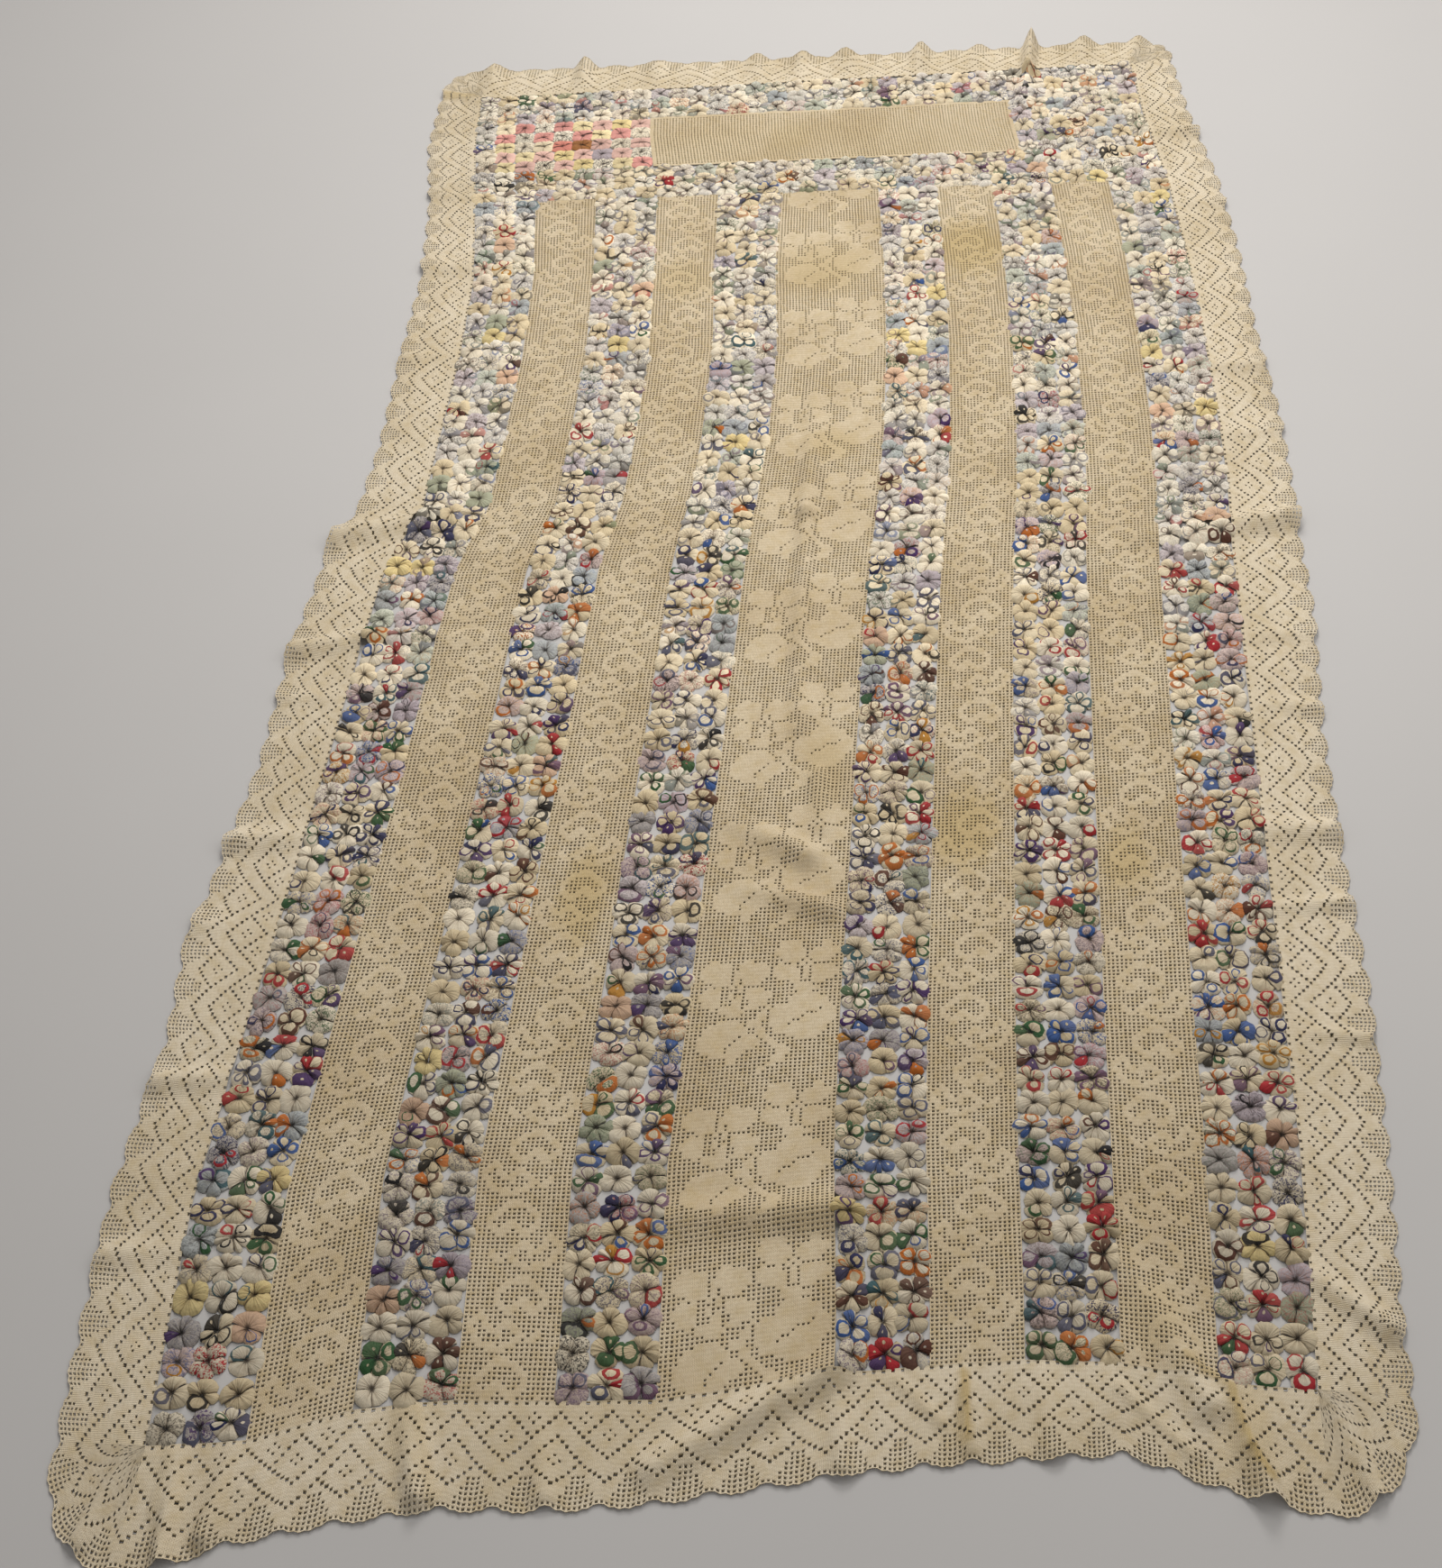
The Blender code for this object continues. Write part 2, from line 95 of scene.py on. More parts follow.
# Soft ridges in the cloth: both ends with their height, then half the width.
foldColumns = ("x1", "y1", "high1", "x2", "y2", "high2", "half")
foldRows = [
    # Left edging, head to foot.
    (-.677, 1.215, .008, -.590, 1.185, .002, .018),
    (-.645, .895, .006, -.550, .890, .001, .022),
    (-.620, .695, .009, -.480, .690, .002, .034),
    (-.620, .460, .007, -.540, .465, .001, .022),
    (-.640, .050, .018, -.500, .090, .007, .034),
    (-.500, .090, .007, -.400, .100, .000, .034),
    (-.645, -.170, .015, -.540, -.145, .006, .030),
    (-.540, -.145, .006, -.330, -.140, .001, .026),
    (-.640, -.255, .006, -.560, -.250, .001, .022),
    (-.645, -.500, .013, -.540, -.485, .003, .030),
    (-.665, -.625, .007, -.590, -.620, .000, .030),
    (-.650, -.845, .011, -.540, -.835, .003, .026),
    (-.650, -1.060, .008, -.560, -1.050, .002, .026),
    # Right edging, head to foot.
    (.545, 1.045, .003, .615, 1.035, .012, .026),
    (.590, .835, .003, .655, .830, .008, .022),
    (.600, .420, .004, .675, .420, .010, .026),
    (.610, .270, .002, .685, .275, .006, .022),
    (.480, .052, .004, .690, .090, .018, .034),
    (.620, -.130, .002, .690, -.130, .005, .022),
    (.620, -.250, .002, .690, -.260, .007, .022),
    (.580, -.455, .004, .685, -.455, .012, .030),
    (.600, -.570, .003, .685, -.560, .007, .018),
    (.630, -.740, .003, .690, -.745, .007, .016),
    (.585, -1.020, .004, .665, -1.085, .013, .022),
    # Centre panel.
    (.028, .420, .002, .030, .100, .009, .022),
    (.030, .100, .009, .042, -.300, .005, .022),
    (-.035, -.450, .003, .065, -.505, .012, .030),
    (.000, -.555, .003, .095, -.585, .009, .026),
    (.070, -.380, .008, .080, -.460, .004, .022),
    (-.060, -.995, .006, .120, -.975, .014, .034),
    # Foot edging and its corners.
    (-.290, -1.205, .004, -.262, -1.300, .015, .020),
    (-.040, -1.260, .010, .130, -1.150, .013, .030),
    (.255, -1.165, .005, .262, -1.225, .006, .016),
    (.420, -1.030, .003, .485, -1.170, .012, .030),
    (.500, -1.120, .004, .535, -1.260, .017, .022),
    (-.505, -1.270, .003, -.495, -1.375, .013, .016),
    (-.555, -1.270, .002, -.580, -1.360, .009, .018),
    (-.450, -1.260, .002, -.460, -1.350, .011, .018),
    (.600, -1.160, .002, .635, -1.255, .009, .018),
    (.130, -1.160, .003, .142, -1.250, .009, .022),
    (-.160, -1.200, .001, -.140, -1.292, .007, .022),
    (.330, -1.140, .001, .340, -1.225, .007, .022),
    # Ruffles of the head edging, and the pinched fold at its right.
    (-.590, 1.210, .001, -.595, 1.290, .015, .030),
    (-.430, 1.210, .001, -.430, 1.295, .018, .026),
    (-.300, 1.215, .001, -.300, 1.298, .009, .030),
    (-.120, 1.225, .001, -.125, 1.305, .010, .030),
    (-.050, 1.225, .001, -.045, 1.308, .016, .024),
    (.030, 1.230, .001, .030, 1.312, .014, .034),
    (.160, 1.235, .001, .160, 1.316, .019, .028),
    (.260, 1.240, .001, .262, 1.320, .009, .030),
    (.440, 1.250, .001, .440, 1.325, .016, .034),
    (.525, 1.256, .001, .535, 1.325, .013, .026),
    (.335, 1.120, .003, .345, 1.230, .013, .018),
    (.345, 1.230, .013, .352, 1.322, .032, .018),
]

# Brown stains on the yarn: where, how far they reach and how strong they are.
stainColumns = ("x", "y", "wide", "tall", "strong")
stainRows = [
    (.25, .725, .07, .09, .65),
    (.025, .675, .085, .085, .4),
    (.06, .25, .05, .04, .43),
    (-.195, .65, .055, .06, .43),
    (-.195, -.575, .035, .09, .61),
    (.25, -.46, .05, .07, .65),
    (.435, -.5, .035, .06, .58),
    (.08, -.37, .03, .09, .32),
    (-.05, 1.05, .06, .06, .36),
    (-.648, 1.205, .04, .014, .58),
    (.105, -.98, .06, .03, .32),
    (.44, -1.08, .04, .05, .32),
    (.52, -1.19, .025, .06, .36),
    (-.29, -1.23, .02, .06, .32),
    (.255, -1.195, .01, .045, .5),
    (-.02, 1.03, .42, .1, .2),
]

# Sharper creases in the edging, some of them browner along their length.
creaseColumns = ("x1", "y1", "x2", "y2", "half", "high", "stain")
creaseRows = [
    (.255, -1.147, .26, -1.215, .007, .004, .8),
    (.468, -1.122, .508, -1.154, .008, .004, .55),
    (.508, -1.154, .521, -1.212, .008, .004, .8),
    (.521, -1.212, .538, -1.24, .009, .004, .9),
    (.403, -1.155, .468, -1.219, .012, .004, .15),
    (.188, -1.157, .235, -1.201, .01, .004, .2),
    (-.277, -1.211, -.246, -1.3, .009, .005, .35),
    (-.513, -1.268, -.515, -1.329, .009, .004, .25),
    (-.577, -1.162, -.603, -1.201, .01, .004, .15),
]

waves = {"high": .0006, "across": 71, "along": 58, "swayAcross": 31, "swayAlong": 23}
foldShape = {"pinch": .12, "pinchWidth": .4, "creasePower": 1.5}
raggedStain = {"share": .25, "across": 210, "along": 170, "sway": 130, "slant": 60}


def mix(a, b, share):
    return a + (b - a) * share


def ease(share):
    share = np.clip(share, 0, 1)
    return share * share * (3 - 2 * share)


def seamAt(name, v):
    return np.interp(v, seams["row"], seams[name])


def acrossAt(u, v):
    first, last = field["centreFrom"], field["centreTo"]
    left = mix(seamAt("fieldLeft", v), seamAt("centreLeft", v), u / first)
    middle = mix(seamAt("centreLeft", v), seamAt("centreRight", v), (u - first) / (last - first))
    right = mix(seamAt("centreRight", v), seamAt("fieldRight", v), (u - last) / (field["columns"] - last))
    return np.where(u <= first, left, np.where(u <= last, middle, right))


def alongAt(u, v):
    share = u / field["columns"]
    panelTop = mix(*field["panelY"], share)
    headPart = mix(panelTop, mix(*field["headY"], share), v / field["headRow"])
    straightFoot = mix(footSeam["y"][0], footSeam["y"][-1], share)
    pull = np.interp(u, footSeam["column"], footSeam["y"]) - straightFoot
    eased = ease((v - field["footPullRow"]) / (field["footRow"] - field["footPullRow"]))
    longPart = mix(panelTop, straightFoot, v / field["footRow"]) + pull * eased
    return np.where(v <= 0, headPart, longPart)


def awayFromLine(line, x, y):
    runX = line["x2"] - line["x1"]
    runY = line["y2"] - line["y1"]
    share = ((x - line["x1"]) * runX + (y - line["y1"]) * runY) / (runX * runX + runY * runY)
    share = np.clip(share, 0, 1)
    away = np.hypot(x - line["x1"] - runX * share, y - line["y1"] - runY * share) / line["half"]
    return share, np.minimum(away, 1)


def liftAt(x, y):
    wave = np.sin(x * waves["across"] + 2 * np.sin(y * waves["swayAlong"]))
    wave = wave * np.sin(y * waves["along"] + 1.5 * np.sin(x * waves["swayAcross"]))
    lift = waves["high"] * (1 + wave)
    for row in foldRows:
        fold = dict(zip(foldColumns, row))
        share, away = awayFromLine(fold, x, y)
        pinch = foldShape["pinch"] * (1 - np.minimum(away / foldShape["pinchWidth"], 1))
        lift += mix(fold["high1"], fold["high2"], share) * (.5 + .5 * np.cos(np.pi * away) + pinch)
    for row in creaseRows:
        crease = dict(zip(creaseColumns, row))
        away = awayFromLine(crease, x, y)[1]
        lift += crease["high"] * (1 - away) ** foldShape["creasePower"]
    return lift


def stainAt(x, y):
    edge = raggedStain
    ragged = np.sin(x * edge["across"] + np.sin(y * edge["sway"]) * 2)
    ragged = edge["share"] * ragged * np.sin(y * edge["along"] + x * edge["slant"])
    stain = np.zeros_like(x)
    for row in stainRows:
        spot = dict(zip(stainColumns, row))
        away = np.hypot((x - spot["x"]) / spot["wide"], (y - spot["y"]) / spot["tall"])
        stain = np.maximum(stain, spot["strong"] * ease(1.35 - away * (1 + ragged)))
    for row in creaseRows:
        crease = dict(zip(creaseColumns, row))
        stain = np.maximum(stain, crease["stain"] * ease(1.15 - awayFromLine(crease, x, y)[1] * (1 + ragged)))
    return stain


# Materials

def newMaterial(name):
    material = bpy.data.materials.new(name)
    material.use_nodes = True
    tree = material.node_tree
    shader = tree.nodes["Principled BSDF"]

    def add(kind, **values):
        node = tree.nodes.new(kind)
        for key, value in values.items():
            setattr(node, key, value)
        return node

    def join(source, target):  # from another node, or from a plain number or colour
        if isinstance(source, tuple):
            target.default_value = (*source, 1)
        elif isinstance(source, (int, float)):
            target.default_value = source
        else:
            tree.links.new(source, target)

    def addNoise(source, scale, detail=2, distortion=0):
        node = add("ShaderNodeTexNoise")
        join(source, node.inputs["Vector"])
        join(scale, node.inputs["Scale"])
        join(detail, node.inputs["Detail"])
        join(distortion, node.inputs["Distortion"])
        return node.outputs["Fac"]

    def maths(operation, first, second=None):
        node = add("ShaderNodeMath", operation=operation)
        join(first, node.inputs[0])
        if second is not None:
            join(second, node.inputs[1])
        return node.outputs[0]

    def mixColours(share, first, second, blend="MIX"):
        node = add("ShaderNodeMix", data_type="RGBA", blend_type=blend)
        join(share, node.inputs[0])
        join(first, node.inputs[6])
        join(second, node.inputs[7])
        return node.outputs[2]

    def ramp(source, low, high):
        node = add("ShaderNodeMapRange", interpolation_type="SMOOTHSTEP")
        join(source, node.inputs["Value"])
        join(low, node.inputs["From Min"])
        join(high, node.inputs["From Max"])
        return node.outputs["Result"]

    def splitWays(source):
        node = add("ShaderNodeSeparateXYZ")
        join(source, node.inputs[0])
        return node.outputs

    def finishWith(colour, height, look):
        join(colour, shader.inputs["Base Color"])
        join(look["roughness"], shader.inputs["Roughness"])
        bump = add("ShaderNodeBump")
        join(look["bump"], bump.inputs["Strength"])
        join(look["bumpHeight"], bump.inputs["Distance"])
        join(height, bump.inputs["Height"])
        join(bump.outputs["Normal"], shader.inputs["Normal"])
        return material

    return SimpleNamespace(
        material=material, shader=shader, add=add, join=join, addNoise=addNoise, maths=maths,
        mixColours=mixColours, ramp=ramp, splitWays=splitWays, finishWith=finishWith)


crochetLook = {
    # the third colour of each kind is painted shade, for the walls of the holes and the tiny gaps between
    # stitches
    "filet": {"light": (.7, .59, .415), "dark": (.6, .485, .315), "deep": (.2, .145, .06)},
    "lace": {"light": (.775, .68, .52), "dark": (.67, .57, .405), "deep": (.26, .195, .09)},
    "stainColour": (.5, .36, .135),
    "roughness": .92,
    "sheen": .15,
    "patchScale": 7,
    "patchRamp": (.35, .68),
    "yarnScale": 1400,
    "stitchScale": 260,
    "fleckRamp": (.35, .75),
    "fleckShade": .22,
    # over which part of a hole's wall the painted shade comes in
    "deepRamp": (.1, .6),
    # the tiny gaps between stitches are darkened with painted shade
    "pricksPerCell": 2,  # tiny gaps between the stitches of a solid block
    "prickRamp": (.25, .95),
    "prickShade": .42,
    "postsPerCell": 3,
    "postShare": .5,
    "chainShare": .22,
    "bump": .6,
    "bumpHeight": .0006,
}


def crochetMaterial(kind):
    look = {**crochetLook, **crochetLook[kind]}
    make = newMaterial("cotton_" + kind)
    place = make.add("ShaderNodeTexCoord").outputs["Object"]
    cell = make.splitWays(make.add("ShaderNodeUVMap", uv_map="stitch").outputs["UV"])
    patches = make.addNoise(place, look["patchScale"], 4)
    yarn = make.addNoise(place, look["yarnScale"])
    stitches = make.addNoise(place, look["stitchScale"])

    def waveAlong(way, perCell):
        return make.maths("COSINE", make.maths("MULTIPLY", cell[way], 2 * math.pi * perCell))

    colour = make.mixColours(make.ramp(patches, *look["patchRamp"]), look["light"], look["dark"])
    flecks = make.maths("MULTIPLY", make.ramp(stitches, *look["fleckRamp"]), look["fleckShade"])
    colour = make.mixColours(flecks, colour, look["dark"], "MULTIPLY")
    stain = make.add("ShaderNodeAttribute", attribute_name="stain").outputs["Fac"]
    colour = make.mixColours(stain, colour, look["stainColour"])
    # Painted shade: the yarn darkens down the walls of the holes, where shade falls.
    deep = make.add("ShaderNodeAttribute", attribute_name="deep").outputs["Fac"]
    colour = make.mixColours(make.ramp(deep, *look["deepRamp"]), colour, look["deep"])
    # Painted shade in the tiny gaps between the stitches of a solid block.
    pricks = make.maths("MULTIPLY", *(waveAlong(way, look["pricksPerCell"]) for way in "XY"))
    pricks = make.maths("MULTIPLY", make.ramp(pricks, *look["prickRamp"]), look["prickShade"])
    colour = make.mixColours(pricks, colour, look["deep"], "MULTIPLY")
    make.join(look["sheen"], make.shader.inputs["Sheen Weight"])

    # Upright posts in each block, a chain line at the top of each row, and the yarn's twist.
    posts = make.maths("MULTIPLY", waveAlong("X", look["postsPerCell"]), look["postShare"])
    chains = make.maths("MULTIPLY", waveAlong("Y", 1), look["chainShare"])
    height = make.maths("ADD", make.maths("ADD", posts, chains), make.maths("ADD", yarn, stitches))
    return make.finishWith(colour, height, look)


calicoLook = {
    "roughness": .88,
    "wanderScale": 1.3,
    "ringWander": .36,
    "ringEdge": .07,
    "wrinkleScale": 6.0,
    # The creases, the gather and the valleys between lumps are darkened with painted shade.
    "creaseWidth": .06,  # of the fine dark creases that run out from the gather
    "broadCrease": (.48, .32),
    "creaseFade": (1.15, .15),
    "crumpleScale": 230,
    "crumpleShare": .45,
    "weaveScale": 1700,
    "weaveShare": .08,
    "busyScale": 5.5,
    "busyTwist": 1.4,
    "busyRamp": (.5, .57),
    "gather": (.34, .09),  # reach from the gather, where it starts and where it is darkest
    "starry": .4,
    "valley": (.86, 1.02),  # how near a lump's side the shade between lumps starts
    # painted shade: how strongly it darkens the creases, the valleys and the gather, and its colour there
    "creaseTint": (.76, (.4, .32, .25)),
    "valleyTint": (.75, (.26, .21, .18)),
    "gatherTint": (.92, (.12, .1, .09)),
    "ownSteps": 61,
    "bump": .8,
    "bumpHeight": .0028,
}


# The map "cut" runs from a puff's gather outwards. The alpha of "ground" is a number of the
# lump's own, and those of the two inks are how strongly each is printed.
def calicoMaterial():
    look = calicoLook
    make = newMaterial("calico_prints")
    place = make.add("ShaderNodeTexCoord").outputs["Object"]
    lump, ringPlace, cut = (make.add("ShaderNodeUVMap", uv_map=name).outputs["UV"]
                            for name in ("lump", "ring", "cut"))
    ground, ink, busyInk, band = (make.add("ShaderNodeAttribute", attribute_name=name).outputs
                                  for name in ("ground", "ink", "busyInk", "band"))
    own = make.maths("MULTIPLY", ground["Alpha"], look["ownSteps"])

    def withOwn(source):
        ways = make.splitWays(source)
        spot = make.add("ShaderNodeCombineXYZ")
        make.join(ways["X"], spot.inputs["X"])
        make.join(ways["Y"], spot.inputs["Y"])
        make.join(own, spot.inputs["Z"])
        return spot.outputs[0]

    def lengthOf(source):
        node = make.add("ShaderNodeVectorMath", operation="LENGTH")
        make.join(source, node.inputs[0])
        return node.outputs["Value"]

    wander = make.maths("SUBTRACT", make.addNoise(withOwn(lump), look["wanderScale"]), .5)
    wander = make.maths("MULTIPLY", wander, look["ringWander"])
    reach = make.maths("ADD", make.maths("SUBTRACT", lengthOf(ringPlace), 1), wander)
    apart = make.maths("SUBTRACT", band["Fac"], make.maths("ABSOLUTE", reach))
    ring = make.maths("MULTIPLY", make.ramp(apart, 0, look["ringEdge"]), ink["Alpha"])

    aim = make.add("ShaderNodeVectorMath", operation="NORMALIZE")
    make.join(cut, aim.inputs[0])
    wrinkles = make.addNoise(withOwn(aim.outputs[0]), look["wrinkleScale"], 3)
    fromMiddle = make.maths("SUBTRACT", wrinkles, .5)
    busy = make.addNoise(withOwn(cut), look["busyScale"], 3, look["busyTwist"])
    lines = make.maths("MULTIPLY", make.ramp(busy, *look["busyRamp"]), busyInk["Alpha"])

    # Masks of the painted shade: round the gather, in the valleys between lumps, and in the creases.
    fromGather = lengthOf(cut)
    starred = make.maths("ADD", fromGather, make.maths("MULTIPLY", fromMiddle, look["starry"]))
    gather = make.ramp(starred, *look["gather"])
    valley = make.ramp(make.maths("ABSOLUTE", make.splitWays(lump)["Y"]), *look["valley"])
    fine = make.ramp(make.maths("ABSOLUTE", fromMiddle), look["creaseWidth"], 0)
    creases = make.maths("MAXIMUM", fine, make.ramp(wrinkles, *look["broadCrease"]))
    creases = make.maths("MULTIPLY", creases, make.ramp(fromGather, *look["creaseFade"]))

    colour = make.mixColours(lines, ground["Color"], busyInk["Color"])
    colour = make.mixColours(ring, colour, ink["Color"])
    # Painted shade darkens the creases, the valleys between lumps and the gather.
    for amount, (strength, tint) in ((creases, look["creaseTint"]), (valley, look["valleyTint"]),
                                     (gather, look["gatherTint"])):
        colour = make.mixColours(make.maths("MULTIPLY", amount, strength), colour, tint, "MULTIPLY")

    weave = make.maths("MULTIPLY", make.addNoise(place, look["weaveScale"]), look["weaveShare"])
    crumple = make.maths("MULTIPLY", make.addNoise(place, look["crumpleScale"], 3), look["crumpleShare"])
    height = make.maths("ADD", wrinkles, make.maths("ADD", weave, crumple))
    return make.finishWith(colour, height, look)


# Openwork: a grid of crochet cells, each one a solid block or an open square of yarn

openwork = {
    "crest": .0019,
    "low": .0003,
    "unevenHeight": .0001,
    "unevenPlace": .00026,
    "unevenHole": .12,
    "unevenCorner": .08,
    "largestHole": .92,
    # how much painted shade the turned-down outer edge gets
    "skirtPaintedShade": .5,
    "rolledEdge": .00025,  # how far the yarn drops towards a hole's edge
    "inward": (.94, .36),  # across and along, the foot of a hole's two walls as a share of its top
}


def addMesh(name, points, faces, maps, floats, colours, material):
    mesh = bpy.data.meshes.new(name)
    mesh.from_pydata(points.tolist(), [], faces)
    corner = np.zeros(len(mesh.loops), dtype=np.int32)
    mesh.loops.foreach_get("vertex_index", corner)
    for key, values in maps.items():
        layer = mesh.uv_layers.new(name=key)
        layer.data.foreach_set("uv", values[corner].astype(np.float32).ravel())
    for key, values in floats.items():
        mesh.attributes.new(key, "FLOAT", "POINT").data.foreach_set("value", values.astype(np.float32))
    for key, values in colours.items():
        layer = mesh.attributes.new(key, "FLOAT_COLOR", "POINT")
        layer.data.foreach_set("color", values.astype(np.float32).ravel())
    mesh.materials.append(material)
    mesh.shade_smooth()
    piece = bpy.data.objects.new(name, mesh)
    bpy.context.scene.collection.objects.link(piece)
    return piece


def openworkPiece(name, x, y, openCells, holeWide, holeTall, material, seed, skirt=False, holeSize=None):
    draw = np.random.default_rng(seed)
    across, along = openCells.shape
    uneven = openwork["unevenPlace"]
    inner = np.zeros(x.shape)
    inner[1:-1, 1:-1] = 1
    x = x + draw.normal(0, uneven, x.shape) * inner
    y = y + draw.normal(0, uneven, y.shape) * inner
    number = np.arange((across + 1) * (along + 1)).reshape(across + 1, along + 1)
    height = openwork["crest"] + draw.normal(0, openwork["unevenHeight"], x.shape)
    placesI, placesJ = np.meshgrid(np.arange(across + 1.0), np.arange(along + 1.0), indexing="ij")
    spots = [np.stack([x, y, height, placesI, placesJ, np.zeros(x.shape)], -1).reshape(-1, 6)]

    openI, openJ = np.nonzero(openCells)
    ring = [(0, 0), (1, 0), (1, 1), (0, 1)]
    corners = [np.stack([x[openI + a, openJ + b], y[openI + a, openJ + b]], -1) for a, b in ring]
    middle = sum(corners) / 4
    sideways = (corners[1] + corners[2] - corners[0] - corners[3]) / 4
    lengthways = (corners[2] + corners[3] - corners[0] - corners[1]) / 4
    wide = holeWide * (1 + draw.normal(0, openwork["unevenHole"], len(openI)))
    tall = holeTall * (1 + draw.normal(0, openwork["unevenHole"], len(openI)))
    if holeSize is not None:
        wide = np.minimum(wide * holeSize[openI, openJ], openwork["largestHole"])
        tall = np.minimum(tall * holeSize[openI, openJ], openwork["largestHole"])
    top = openwork["crest"] - openwork["rolledEdge"]
    # The last number of each level is how much painted shade its yarn gets: none at the top of a hole, full
    # at the foot of its walls.
    levels = ((1.0, 1.0, top, .0), (*openwork["inward"], openwork["low"], 1.0))
    for shareWide, shareTall, level, deep in levels:
        for a, b in ring:
            a, b = 2 * a - 1, 2 * b - 1
            wideHere = wide * shareWide * (1 + draw.normal(0, openwork["unevenCorner"], len(openI)))
            tallHere = tall * shareTall * (1 + draw.normal(0, openwork["unevenCorner"], len(openI)))
            at = middle + sideways * (a * wideHere)[:, None] + lengthways * (b * tallHere)[:, None]
            spots.append(np.column_stack([at, np.full(len(openI), level),
                                          openI + .5 + a * wideHere / 2, openJ + .5 + b * tallHere / 2,
                                          np.full(len(openI), deep)]))

    closedI, closedJ = np.nonzero(~openCells)
    quads = [np.stack([number[closedI + a, closedJ + b] for a, b in ring], -1)]
    outer = [number[openI + a, openJ + b] for a, b in ring]
    first = number.size + np.arange(len(openI))
    edges = [first + k * len(openI) for k in range(4)]
    feet = [first + (k + 4) * len(openI) for k in range(4)]
    for k in range(4):
        after = (k + 1) % 4
        quads.append(np.stack([outer[k], outer[after], edges[after], edges[k]], -1))
        if k % 2 == 0:
            quads.append(np.stack([edges[k], edges[after], feet[after], feet[k]], -1))
    spots = np.concatenate(spots)

    if skirt:  # the outer edge turns down to the floor
        edge = number[:, -1]
        below = len(spots) + np.arange(len(edge))
        under = spots[edge].copy()
        under[:, 2] = openwork["low"]
        # the turned-down edge gets painted shade too
        under[:, 5] = openwork["skirtPaintedShade"]
        spots = np.concatenate([spots, under])
        quads.append(np.stack([edge[:-1], below[:-1], below[1:], edge[1:]], -1))

    quads = np.concatenate(quads)
    a, b, c = (spots[quads[:len(closedI), k], :2] for k in range(3))
    if np.cross(b - a, c - a).sum() < 0:
        quads = quads[:, ::-1]

    rawX, rawY = spots[:, 0], spots[:, 1]
    points = np.column_stack([rawX - field["origin"][0], rawY - field["origin"][1],
                              spots[:, 2] + liftAt(rawX, rawY)])
    # the painted shade of the hole walls goes to the crochet material with the stains
    floats = {"deep": spots[:, 5], "stain": stainAt(rawX, rawY)}
    return addMesh(name, points, quads.tolist(), {"stitch": spots[:, 3:5]}, floats, {}, material)


# One repeat of each filet chart, head first: # is a solid block, . an open square.
narrowChart = """
..........###.......
........######......
.......##....##.....
......##......##....
......#........##...
......#....##...#...
......##..####.##...
.......####.####....
...#....##...##.....
..###...............
.##.#...##..........
.#..##.####.........
.##..###..##...#....
..#....#...##.##....
..##......##.##.....
...####.###.........
.....####...........
....................
""".split()
narrowChart += [line[::-1] for line in narrowChart]

centreChart = """
.................####....##...
................######..#####.
................######.######.
.................#####.#####..
...##.....##......###.#.###...
..#####..#####...#.#.#.#......
.######..######.####..#.####..
.######.#######.#####.#.#####.
..#####.#.####...####.#.####..
....###.#.###......##...##....
...#.#.#.#..........####......
..####...#.###......#####.....
.#####.#...#####.....###......
.#####.#.#.#####....#####.....
..####..##..###....########...
....#.####.##..#.###########..
......#####...#.#########.###.
.......###...##.#######..####.
.............##.######.######.
......####..##..####..#######.
....#######.##..###.########..
...#########.##..##########...
..########.##.##...#######....
..#######.####.##....####.....
..######.#####..##............
..#####.#####....##...........
...####.####......##..........
.....######.......##..........
........##.......##...........
................##............
..............##..............
..............#...............
..............................
..............................
..............................
""".split()


def chartCells(chart, startRow, across, repeat, along):
    opened = np.array([[mark == "." for mark in line] for line in chart])
    rows = (np.arange(along) + startRow) % repeat * len(chart) // repeat
    columns = np.arange(across) * opened.shape[1] // across
    return opened[rows][:, columns].T


def insertCells(across, along):
    opened = np.ones((across, along), dtype=bool)
    opened[0] = opened[-1] = False
    opened[:, 0] = opened[:, -1] = False
    return opened


filetNet = {
    "pitch": .005,
    "puff": .033,
    "holeWide": .5,
    "holeTall": .58,
    "insertHoleWide": .46,
    "narrowAcross": 20,
    "narrowRepeat": 36,
    "centreAcross": 35,
    "centreRepeat": 40,
    "narrowShift": 7,  # rows by which each narrow panel's chart starts later
    "centreStart": 23,
    "insertFewer": (5, 3),  # cells by which the insert is coarser, across and along
    "panelSpans": [(3, 6), (9, 12), (15, 20), (23, 26), (29, 32)],
}


def fieldGrid(fromColumn, toColumn, fromRow, toRow, across, along):
    u, v = np.meshgrid(np.linspace(fromColumn, toColumn, across + 1),
                       np.linspace(fromRow, toRow, along + 1), indexing="ij")
    return acrossAt(u, v), alongAt(u, v)


def layAsSheet(piece, nodeName):
    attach(piece, "root")
    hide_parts(nodeName)


filetCotton = crochetMaterial("filet")
laceCotton = crochetMaterial("lace")
calico = calicoMaterial()


